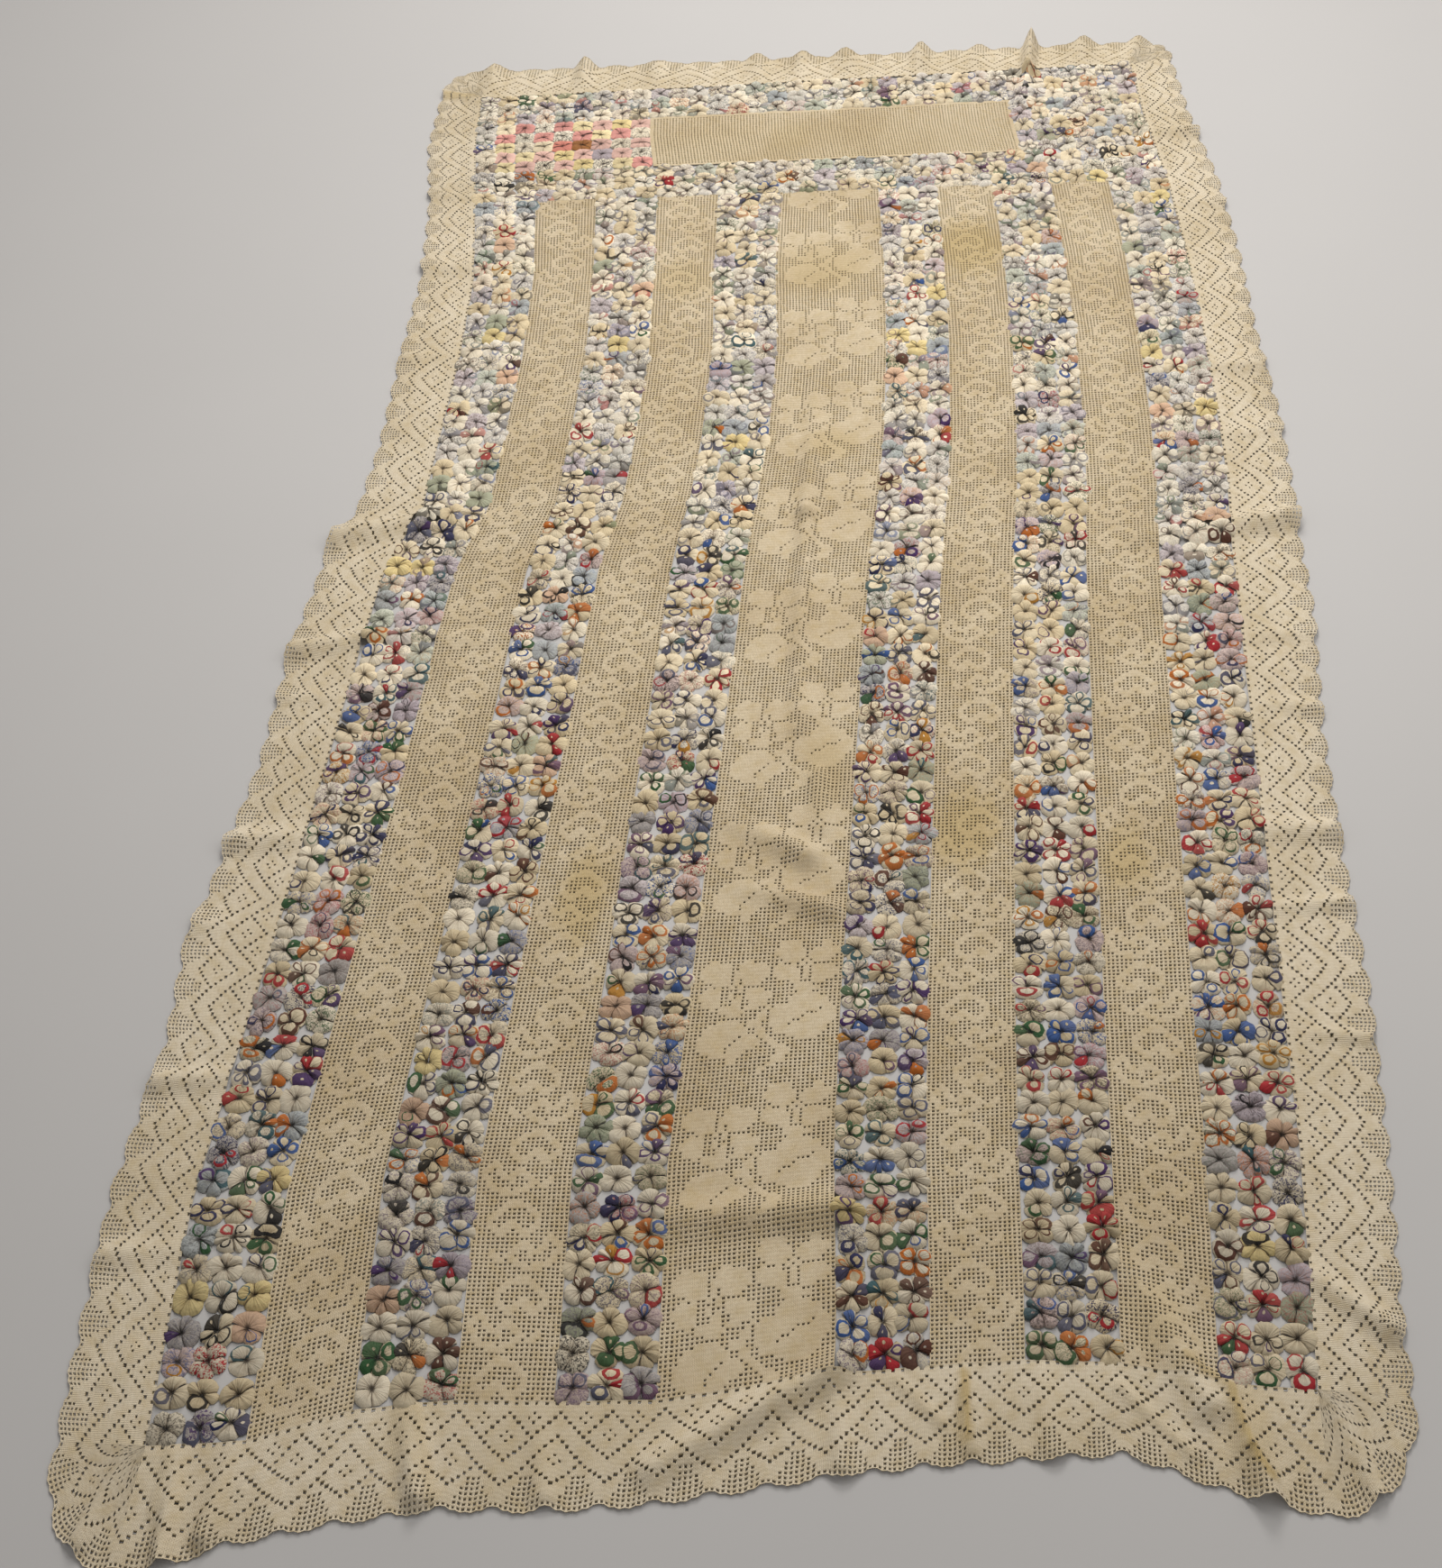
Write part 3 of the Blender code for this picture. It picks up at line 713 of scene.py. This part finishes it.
def makeFiletPanels():
    along = round(field["footRow"] * filetNet["puff"] / filetNet["pitch"])
    for number, (first, last) in enumerate(filetNet["panelSpans"], 1):
        centre = number == 3
        across = filetNet["centreAcross" if centre else "narrowAcross"]
        repeat = filetNet["centreRepeat" if centre else "narrowRepeat"]
        x, y = fieldGrid(first, last, 0, field["footRow"], across, along)
        startRow = filetNet["centreStart"] if centre else filetNet["narrowShift"] * number
        cells = chartCells(centreChart if centre else narrowChart, startRow, across, repeat, along)
        piece = openworkPiece(f"filetPanel{number}", x, y, cells,
                              filetNet["holeWide"], filetNet["holeTall"], filetCotton, 20 + number)
        layAsSheet(piece, f"filet_panel_{number}")
    first, last = field["insertFrom"], field["insertTo"]
    fromRow, toRow = field["insertFromRow"], field["insertToRow"]
    fewer = filetNet["insertFewer"]
    across = round((last - first) * filetNet["puff"] / filetNet["pitch"]) - fewer[0]
    along = round((toRow - fromRow) * filetNet["puff"] / filetNet["pitch"]) - fewer[1]
    x, y = fieldGrid(first, last, fromRow, toRow, across, along)
    piece = openworkPiece("filetInsert", x, y, insertCells(across, along),
                          filetNet["insertHoleWide"], filetNet["holeTall"], filetCotton, 30)
    layAsSheet(piece, "filet_insert")
    print("filet panels made")


# Lace edging: the same crochet cells, charted as eyelet diamonds between two zigzag lines

lace = {
    "sideScallops": 48,
    "endScallops": 23,
    "cornerScallops": 3,
    "cellsPerScallop": 10,
    "rowsWide": 22,
    "scallopDepth": .007,
    "loopDepth": .0014,  # of the tiny loops along the scallops
    "headWidth": (.093, .072),
    "headSquare": 3.0,
    "footSquare": 2.0,
    "holeWide": .68,
    "holeTall": .9,
    "smallHole": .72,  # holes of the meshes and the diamond centres, as a share of the rest
    "zigzagRow": 12,  # where the inner zigzag turns, counted from the join
    "bandRows": 5,  # rows from the inner zigzag to the outer one
    "diamondHalf": 5,
    "dip": (5, 7),  # column and middle row of the diamonds next to the join
    "peak": (15, 12),  # and of those nearer to the edge
    "fans": (0, 10),  # columns of the mesh fans, and the rows that they take
    "seamDiamondRow": 3,
    "fanRows": (15, 13),
    "phase": 5,
    "plainRows": 3,  # in the gathered corners, next to the join
}


def laceCells(across, phase):
    repeat = 2 * lace["cellsPerScallop"]
    rows = lace["rowsWide"]
    half = lace["diamondHalf"]
    i, j = np.meshgrid((np.arange(across) + phase) % repeat, np.arange(rows), indexing="ij")

    def apart(column):
        away = np.abs(i - column)
        return np.minimum(away, repeat - away)

    inDip = apart(lace["dip"][0])
    inPeak = apart(lace["peak"][0])
    fan = np.minimum(*(apart(column) for column in lace["fans"]))
    opened = (j == 0) & (i % 2 == 0)
    opened |= j == lace["zigzagRow"] - inDip
    opened |= j == lace["zigzagRow"] + lace["bandRows"] - inDip
    opened |= (j == 2 + inDip) & (inDip <= half)
    opened |= (j == lace["zigzagRow"] + lace["bandRows"] - inPeak) & (inPeak <= half)
    small = inDip + np.abs(j - lace["dip"][1]) == 1
    small |= inPeak + np.abs(j - lace["peak"][1]) == 1
    small |= fan + np.abs(j - lace["seamDiamondRow"]) == 1
    fanFrom, fanPoint = lace["fanRows"]
    small |= (j >= fanFrom) & (j <= rows - 2) & (fan <= (j - fanPoint) // 2)
    small |= j == rows - 1
    return opened | small, np.where(small & ~opened, lace["smallHole"], 1.0)


def drawnIn(scallops):
    loops = lace["loopDepth"] * (np.arange(len(scallops)) % 2)
    return lace["scallopDepth"] * (1 - np.abs(np.sin(np.pi * scallops))) + loops


def fillWidth(innerX, innerY, outerX, outerY):
    share = np.linspace(0, 1, lace["rowsWide"] + 1)[None, :]
    return (mix(innerX[:, None], outerX[:, None], share), mix(innerY[:, None], outerY[:, None], share))


def sideLace(name, node, left, seed):
    across = lace["sideScallops"] * lace["cellsPerScallop"]
    share = np.linspace(0, 1, across + 1)
    v = mix(field["headRow"], field["footRow"], share)
    u = np.full(v.shape, .0 if left else float(field["columns"]))
    outward = -1 if left else 1
    innerX, innerY = acrossAt(u, v), alongAt(u, v)
    reach = seamAt("laceLeft" if left else "laceRight", v) - outward * drawnIn(share * lace["sideScallops"])
    x, y = fillWidth(innerX, innerY, reach, innerY)
    cells, holeSize = laceCells(across, lace["phase"])
    piece = openworkPiece(name, x, y, cells, lace["holeWide"], lace["holeTall"], laceCotton, seed,
                          skirt=True, holeSize=holeSize)
    layAsSheet(piece, node)


def endLace(name, node, head, seed):
    row = float(field["headRow"] if head else field["footRow"])
    outward = 1 if head else -1
    square = lace["headSquare"] if head else lace["footSquare"]
    ends = np.array([.0, field["columns"]])
    endX, endY = acrossAt(ends, row), alongAt(ends, row)

    def widthAt(u):
        if head:
            return mix(*lace["headWidth"], u / field["columns"])
        return np.interp(u, footSeam["column"], footSeam["lace"])

    cornerCells = lace["cornerScallops"] * lace["cellsPerScallop"]
    innerX, innerY, outerX, outerY = [], [], [], []

    def addStations(*parts):
        for kept, part in zip((innerX, innerY, outerX, outerY), parts):
            kept.append(part)

    def addCorner(k, reachX, turn):
        angle = turn * np.pi / 2
        power = 2 / square
        atX = reachX * np.cos(angle) ** power
        atY = outward * widthAt(ends[k]) * np.sin(angle) ** power
        long = np.hypot(atX, atY)
        short = 1 - drawnIn(turn * lace["cornerScallops"]) / long
        addStations(np.full(turn.shape, endX[k]), np.full(turn.shape, endY[k]),
                    endX[k] + atX * short, endY[k] + atY * short)

    turn = np.arange(cornerCells) / cornerCells
    addCorner(0, seamAt("laceLeft", row) - endX[0], turn)
    across = lace["endScallops"] * lace["cellsPerScallop"]
    share = np.linspace(0, 1, across + 1)
    u = share * field["columns"]
    rows = np.full(u.shape, row)
    midX, midY = acrossAt(u, rows), alongAt(u, rows)
    addStations(midX, midY, midX, midY + outward * (widthAt(u) - drawnIn(share * lace["endScallops"])))
    addCorner(1, seamAt("laceRight", row) - endX[1], turn[::-1])
    x, y = fillWidth(*(np.concatenate(part) for part in (innerX, innerY, outerX, outerY)))
    cells, holeSize = laceCells(x.shape[0] - 1, lace["phase"])
    cells[:cornerCells, :lace["plainRows"]] = False
    cells[-cornerCells:, :lace["plainRows"]] = False
    piece = openworkPiece(name, x, y, cells, lace["holeWide"], lace["holeTall"], laceCotton, seed,
                          skirt=True, holeSize=holeSize)
    layAsSheet(piece, node)


def makeLace():
    sideLace("laceLeft", "lace_left", True, 41)
    sideLace("laceRight", "lace_right", False, 42)
    endLace("laceHead", "lace_head", True, 43)
    endLace("laceFoot", "lace_foot", False, 44)
    print("lace edging made")


# Gathered puffs: each one a few lumps of calico, pinched together at a small gather

puffs = {
    "lumpCounts": (3, 4, 5, 6),
    "lumpShares": (.24, .38, .28, .1),
    "unequal": .36,  # how unlike in width the lumps of a puff are
    "across": (-1, -.68, -.32, 0, .32, .68, 1),  # over a lump, from valley to valley
    "outward": (0, .24, .56, .86, 1),  # from the gather to the rim
    "profile": (.14, .78, 1.0, .78, .07),  # how high the cloth stands there
    "gatherRadius": .014,
    "reach": (.525, .625),
    "farReach": 1.07,  # the puffs lie closer together towards the head
    "farFrom": 40,
    "farOver": 30,
    "notch": (.08, .3),
    "square": 2.3,
    "high": (.0032, .0072),
    "valley": (.15, .6),
    "stretch": .09,
    "placeJitter": .045,
    "crumple": (.012, .00045),
    "ringShift": .22,
    "ringRadius": (.55, .98),
    "ringHalf": (.12, .36),
    "solidHalf": .8,
    "solidShare": .045,
    "narrow": .62,
    "narrowSolid": .5,
    "shade": (.82, 1.04),  # how light each puff's cloth is
    "farShade": (.86, 1.02),
    "lumpShade": (.92, 1.04),
    "busyBetween": (.5, 1.0),
    "ringBetween": (.88, 1.0),
    "rimUneven": .02,
    "bodyPower": 2.4,
    "tilt": .25,
    "lowest": .0003,
    # painted light and shade: the puffs' cloth is painted lighter towards the head and darker towards the
    # foot
    "shadeAlong": ((28, 54), (1.16, .82)),  # between these rows, and how much lighter or darker
}
flatPuffs = {"reach": (.52, .55), "notch": (.00, .05), "square": 5.0, "high": (.0024, .0036),
             "valley": (.8, .95), "stretch": .02, "placeJitter": .02}

# Cloth of the puffs, in linear light.
cloth = {
    "cream": (.74, .63, .44), "white": (.8, .71, .55), "ecru": (.68, .56, .36),
    "mist": (.8, .73, .59), "pearl": (.7, .65, .57), "lilac": (.58, .51, .51),
    "seafoam": (.55, .56, .46), "buttermilk": (.76, .64, .37), "tan": (.3, .13, .035),
    "yellow": (.74, .6, .29), "peach": (.68, .46, .31), "lavender": (.47, .4, .43),
    "paleBlue": (.44, .46, .45), "grey": (.47, .43, .4), "sage": (.4, .41, .29),
    "pink": (.68, .31, .27), "palePink": (.7, .45, .38), "salmon": (.6, .22, .17),
    "rose": (.6, .47, .43),
    "navy": (.016, .018, .075), "red": (.36, .01, .018), "rust": (.46, .125, .012),
    "ochre": (.46, .21, .025), "green": (.022, .085, .026), "blue": (.035, .09, .27),
    "purple": (.06, .022, .11), "black": (.009, .008, .009), "brown": (.09, .028, .014),
    "teal": (.035, .095, .11), "mauve": (.15, .075, .13), "slate": (.09, .092, .14),
}

# What each kind of puff is cut from: how common it is, its grounds, how many of its lumps
# carry a printed ring, and how busy the rest of the print is.
clothKinds = [
    {"share": 46, "grounds": ("cream", "white", "cream", "white", "ecru"), "rings": .76, "busy": .0},
    {"share": 12, "grounds": ("cream", "ecru", "white"), "rings": .2, "busy": .0},
    {"share": 18, "grounds": ("cream", "white", "rose"), "rings": .66, "busy": .7},
    {"share": 8, "grounds": ("lavender", "paleBlue", "grey", "lilac", "sage"), "rings": .35, "busy": .45},
    {"share": 12, "grounds": ("white", "grey", "white", "cream"), "rings": .4, "busy": 1.0},
    {"share": 2, "grounds": ("yellow", "peach"), "rings": .25, "busy": .1},
]
farKinds = [  # towards the head the cloths are greyer and their prints finer
    {"share": 40, "grounds": ("mist", "white", "pearl", "cream", "mist"), "rings": .62, "busy": .3},
    {"share": 22, "grounds": ("mist", "pearl", "white"), "rings": .4, "busy": .8},
    {"share": 18, "grounds": ("lilac", "pearl", "seafoam", "paleBlue", "pearl"), "rings": .3, "busy": .6},
    {"share": 14, "grounds": ("cream", "white", "ecru"), "rings": .25, "busy": .1},
    {"share": 4, "grounds": ("yellow", "peach", "sage"), "rings": .2, "busy": .1},
]
brightKinds = [  # the block left of the insert, its puffs laid flatter: pinks and lights in turn
    {"share": 60, "grounds": ("pink", "palePink", "salmon", "pink", "palePink"), "rings": .0, "busy": .05},
    {"share": 22, "grounds": ("buttermilk", "buttermilk", "yellow", "cream"), "rings": .0, "busy": .0},
    {"share": 28, "grounds": ("white", "mist"), "rings": .0, "busy": 1.0, "ink": "black"},
    {"share": 3, "grounds": ("tan", "lavender"), "rings": .0, "busy": .2},
]
brightFrom = 1.0  # the column at the outer edge of that block is as the rest
inkShares = {  # what each third of the cloth is mostly printed with, left to right
    "navy": (17, 12, 8), "red": (13, 6, 16), "rust": (10, 6, 16), "green": (10, 9, 11),
    "blue": (12, 12, 10), "purple": (9, 11, 9), "black": (13, 9, 10), "brown": (5, 6, 6),
    "ochre": (3, 3, 5), "teal": (4, 8, 3), "mauve": (3, 9, 3), "slate": (6, 13, 6),
}
farInks = ("slate", "slate", "green", "black", "slate", "mauve", "brown", "teal")
farFaded = .3  # how far their inks have faded into the ground
choices = {"pinkShare": .85, "farUntil": 46, "farOver": 40, "farMost": .88, "thirdSway": .35,
           "farInk": .6, "secondInk": .3}


def kindsAt(u, v, kinds, draw):
    if kinds is brightKinds and u > brightFrom:
        pinkTurn = (int(u) + int(np.floor(v))) % 2 == 0
        return kinds[:1] if pinkTurn and draw.random() < choices["pinkShare"] else kinds[1:]
    farChance = ease((choices["farUntil"] - v) / choices["farOver"]) * choices["farMost"]
    return farKinds if draw.random() < farChance else clothKinds


def puffColours(u, v, whose, kinds, draw):
    count = len(u)
    names = list(inkShares)
    ground = np.zeros((count, 3))
    busyInk = np.zeros((count, 4))
    rings = np.zeros(count)
    faded = np.zeros(count)
    inks = []
    for n in range(count):
        choice = kindsAt(u[n], v[n], kinds, draw)
        shares = np.array([kind["share"] for kind in choice], float)
        kind = choice[draw.choice(len(choice), p=shares / shares.sum())]
        third = u[n] / field["columns"] * 3 + draw.normal(0, choices["thirdSway"])
        third = int(np.clip(third, 0, 2))
        shares = np.array([inkShares[name][third] for name in names], float)
        trio = [names[k] for k in draw.choice(len(names), 3, p=shares / shares.sum())]
        if choice is farKinds:
            trio = [farInks[draw.integers(len(farInks))] if draw.random() < choices["farInk"] else name
                    for name in trio]
        if "ink" in kind:
            trio[2] = kind["ink"]
        inks.append(trio)
        rings[n] = kind["rings"]
        base = np.array(cloth[kind["grounds"][draw.integers(len(kind["grounds"]))]])
        shade = draw.uniform(*puffs["farShade" if choice is farKinds else "shade"])
        ground[n] = base * shade * np.interp(v[n], *puffs["shadeAlong"])
        busyInk[n] = (*cloth[trio[2]], min(1, kind["busy"] * draw.uniform(*puffs["busyBetween"])))
        faded[n] = farFaded if choice is farKinds else 0
    many = len(whose)
    printed = draw.random(many) < rings[whose]
    ink = np.zeros((many, 4))
    for n in range(many):
        ink[n, :3] = cloth[inks[whose[n]][int(draw.random() < choices["secondInk"])]]
    ink[:, :3] = mix(ink[:, :3], ground[whose], faded[whose][:, None])
    ink[:, 3] = printed * draw.uniform(*puffs["ringBetween"], many)
    lumpShade = draw.uniform(*puffs["lumpShade"], (many, 1))
    grounds = np.column_stack([ground[whose] * lumpShade, draw.random(many)])
    return {"ground": grounds, "ink": ink, "busyInk": busyInk[whose]}


def puffField(name, node, columns, rows, seed, kinds):
    draw = np.random.default_rng(seed)
    u, v = (part.ravel() + .5 for part in np.meshgrid(np.arange(*columns, dtype=float),
                                                       np.arange(*rows, dtype=float), indexing="ij"))
    count = len(u)
    flat = (u > brightFrom) if kinds is brightKinds else np.zeros(count, bool)

    def pick(key, end=None):  # a value of the puffs, or of the flatter ones where they lie
        plain, flatter = puffs[key], flatPuffs[key]
        if end is not None:
            plain, flatter = plain[end], flatter[end]
        return np.where(flat, flatter, plain)

    shift = pick("placeJitter")
    centreU = u + np.clip(draw.normal(0, 1, count), -2, 2) * shift
    centreV = v + np.clip(draw.normal(0, 1, count), -2, 2) * shift
    lumps = draw.choice(puffs["lumpCounts"], count, p=puffs["lumpShares"])
    whose = np.repeat(np.arange(count), lumps)
    many = len(whose)

    def each(low, high):
        return draw.uniform(low, high, many)[:, None]

    def eachBetween(key):
        low, high = pick(key, 0)[whose], pick(key, 1)[whose]
        return mix(low, high, draw.random(many))[:, None]

    # How far round the puff each lump reaches.
    weight = np.exp(draw.normal(0, puffs["unequal"], many))
    share = weight / np.bincount(whose, weight, count)[whose]
    before = np.cumsum(share) - share
    before -= before[np.cumsum(lumps) - lumps][whose]
    phase = draw.uniform(0, 2 * np.pi, count)[whose]
    angle = (phase + 2 * np.pi * (before + share / 2))[:, None]
    halfTurn = (np.pi * share)[:, None]

    # Places on each lump: row by row from its gather to its rim.
    across = np.tile(puffs["across"], len(puffs["outward"]))[None, :]
    outward = np.repeat(puffs["outward"], len(puffs["across"]))[None, :]
    profile = np.repeat(puffs["profile"], len(puffs["across"]))[None, :]
    inner = (outward > 0) & (outward < 1)
    theta = angle + halfTurn * across
    square = pick("square")[whose][:, None]
    corner = (np.abs(np.cos(theta)) ** square + np.abs(np.sin(theta)) ** square) ** (-1 / square)
    closer = 1 + (puffs["farReach"] - 1) * ease((puffs["farFrom"] - v) / puffs["farOver"]) * ~flat
    rim = eachBetween("reach") * closer[whose][:, None] * corner
    rim = rim * (1 - eachBetween("notch") * np.abs(across) ** 3)
    rim = rim * (1 + draw.normal(0, puffs["rimUneven"], (many, outward.shape[1])) * (outward > 0))
    reach = puffs["gatherRadius"] + (rim - puffs["gatherRadius"]) * outward
    stretch = 1 + pick("stretch")[whose] * draw.uniform(-1, 1, count)[whose]
    roughPlace, roughHeight = puffs["crumple"]
    localU = reach * np.cos(theta) * stretch[:, None] + draw.normal(0, roughPlace, theta.shape) * inner
    localV = reach * np.sin(theta) / stretch[:, None] + draw.normal(0, roughPlace, theta.shape) * inner
    pitchX = (acrossAt(u + .25, v) * 2 - acrossAt(u - .25, v) * 2)[whose][:, None]
    pitchY = (alongAt(u, v - .25) * 2 - alongAt(u, v + .25) * 2)[whose][:, None]
    x = acrossAt(centreU, centreV)[whose][:, None] + localU * pitchX
    y = alongAt(centreU, centreV)[whose][:, None] + localV * pitchY
    valley = eachBetween("valley")
    body = valley + (1 - valley) * (1 - np.abs(across) ** puffs["bodyPower"])
    tilt = 1 + puffs["tilt"] * across * each(-1, 1)
    rough = draw.normal(0, roughHeight, theta.shape) * inner
    lift = liftAt(x, y)
    z = lift + np.maximum(eachBetween("high") * profile * body * tilt + rough, puffs["lowest"])

    points = np.stack([x - field["origin"][0], y - field["origin"][1], z], -1).reshape(-1, 3)
    perLump = outward.shape[1]
    number = np.arange(many * perLump).reshape(many, len(puffs["outward"]), len(puffs["across"]))
    faces = np.stack([number[:, :-1, :-1], number[:, 1:, :-1], number[:, 1:, 1:], number[:, :-1, 1:]], -1)

    places = np.stack([(2 * outward - 1) * np.ones_like(x), across * np.ones_like(x)], -1)
    ringMiddle = draw.uniform(-1, 1, (many, 1, 2)) * puffs["ringShift"]
    radius = each(*puffs["ringRadius"])[:, :, None]
    half = each(*puffs["ringHalf"])[:, 0]
    solidChance = np.where(halfTurn[:, 0] < puffs["narrow"], puffs["narrowSolid"], puffs["solidShare"])
    half = np.where(draw.random(many) < solidChance, puffs["solidHalf"], half)
    maps = {
        "lump": places.reshape(-1, 2),
        "ring": ((places - ringMiddle) / radius).reshape(-1, 2),
        "cut": np.stack([localU * 2, localV * 2], -1).reshape(-1, 2),
    }
    colours = puffColours(u, v, whose, kinds, draw)
    perPoint = {key: np.repeat(values, perLump, axis=0) for key, values in colours.items()}
    floats = {"band": np.repeat(half, perLump)}
    piece = addMesh(name, points, faces.reshape(-1, 4).tolist(), maps, floats, perPoint, calico)
    layAsSheet(piece, node)


def makePuffs():
    for number, first in enumerate([0, 6, 12, 20, 26, 32], 1):
        puffField(f"puffStrip{number}", f"puff_strip_{number}", (first, first + 3), (0, field["footRow"]),
                  number, clothKinds)
    wide = (0, field["columns"])
    headRow, fromRow, toRow = field["headRow"], field["insertFromRow"], field["insertToRow"]
    puffField("puffBandHead", "puff_band_head", wide, (headRow, fromRow), 7, clothKinds)
    puffField("puffBandUnder", "puff_band_under", wide, (toRow, 0), 8, clothKinds)
    puffField("puffBlockLeft", "puff_block_left", (0, field["insertFrom"]), (fromRow, toRow), 9, brightKinds)
    puffField("puffBlockRight", "puff_block_right", (field["insertTo"], field["columns"]), (fromRow, toRow),
              10, clothKinds)
    print("puffs made")


# Floor, lights and camera

studio = {
    "floorSize": 40,
    "floorDrop": .0003,
    "floorColour": (.52, .51, .505),
    "floorRoughness": .75,
    "patchScale": 3,
    "patchShade": .965,
    "skyColour": (1.0, .972, .935),
    "skyStrength": .32,
}

lightColumns = ("name", "at", "aim", "size", "watts", "colour")
lightRows = [
    ("keyLight", (.1, 3.1, 2.7), (.1, .2, 0), 1.6, 90, (1.0, .97, .93)),
    ("fillLight", (2.6, .6, 3.2), (0, 0, 0), 3.0, 30, (1.0, .975, .94)),
    ("middleLight", (.1, .25, 1.9), (.1, .15, 0), .9, 13, (1.0, .975, .94)),
]

view = {
    "at": (.2351, -2.023, 1.905),
    "yaw": -9.9,
    "pitch": 48.5,
    "roll": -6.75,
    "focalPixels": 2300,
    "longSidePixels": 1740,
    "sensor": 36,
}


def aimAt(item, target):
    away = np.array(item.location) - np.array(target)
    item.rotation_euler = (math.atan2(math.hypot(away[0], away[1]), away[2]), 0,
                           math.atan2(away[0], -away[1]))


def makeStudio():
    half = studio["floorSize"] / 2
    mesh = bpy.data.meshes.new("floor")
    corners = [(-half, -half, 0), (half, -half, 0), (half, half, 0), (-half, half, 0)]
    mesh.from_pydata(corners, [], [(0, 1, 2, 3)])
    floor = bpy.data.objects.new("floor", mesh)
    floor.location.z = -studio["floorDrop"]
    bpy.context.scene.collection.objects.link(floor)
    make = newMaterial("pale_floor")
    place = make.add("ShaderNodeTexCoord").outputs["Object"]
    darker = tuple(part * studio["patchShade"] for part in studio["floorColour"])
    colour = make.mixColours(make.addNoise(place, studio["patchScale"]), studio["floorColour"], darker)
    make.join(colour, make.shader.inputs["Base Color"])
    make.join(studio["floorRoughness"], make.shader.inputs["Roughness"])
    mesh.materials.append(make.material)
    floor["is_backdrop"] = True

    world = bpy.data.worlds.new("studio")
    world.use_nodes = True
    background = world.node_tree.nodes["Background"]
    background.inputs["Color"].default_value = (*studio["skyColour"], 1)
    background.inputs["Strength"].default_value = studio["skyStrength"]
    bpy.context.scene.world = world

    for row in lightRows:
        plan = dict(zip(lightColumns, row))
        light = bpy.data.lights.new(plan["name"], "AREA")
        light.shape = "DISK"
        light.size = plan["size"]
        light.energy = plan["watts"]
        light.color = plan["colour"]
        lamp = bpy.data.objects.new(plan["name"], light)
        lamp.location = plan["at"]
        aimAt(lamp, plan["aim"])
        bpy.context.scene.collection.objects.link(lamp)
    bpy.context.scene.view_settings.view_transform = "Standard"
    print("studio made")


def makeCamera():
    yaw, pitch, roll = (math.radians(view[key]) for key in ("yaw", "pitch", "roll"))
    heading = np.array([math.sin(yaw), math.cos(yaw), 0])
    side = np.array([math.cos(yaw), -math.sin(yaw), 0])
    forward = heading * math.cos(pitch) + np.array([0, 0, -math.sin(pitch)])
    upright = heading * math.sin(pitch) + np.array([0, 0, math.cos(pitch)])
    right = side * math.cos(roll) + upright * math.sin(roll)
    up = -side * math.sin(roll) + upright * math.cos(roll)
    lens = bpy.data.cameras.new("photoCamera")
    lens.sensor_fit = "AUTO"
    lens.sensor_width = view["sensor"]
    lens.lens = view["focalPixels"] / view["longSidePixels"] * view["sensor"]
    lens.clip_end = 50
    camera = bpy.data.objects.new("photoCamera", lens)
    matrix = np.eye(4)
    matrix[:3, 0] = right
    matrix[:3, 1] = up
    matrix[:3, 2] = -forward
    matrix[:3, 3] = view["at"]
    camera.matrix_world = Matrix(matrix.tolist())
    bpy.context.scene.collection.objects.link(camera)
    bpy.context.scene.camera = camera


makeFiletPanels()
makeLace()
makePuffs()
makeStudio()
makeCamera()

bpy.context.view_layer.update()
triangles = sum(len(p.vertices) - 2 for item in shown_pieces() for p in item.data.polygons)
print("triangles", triangles)
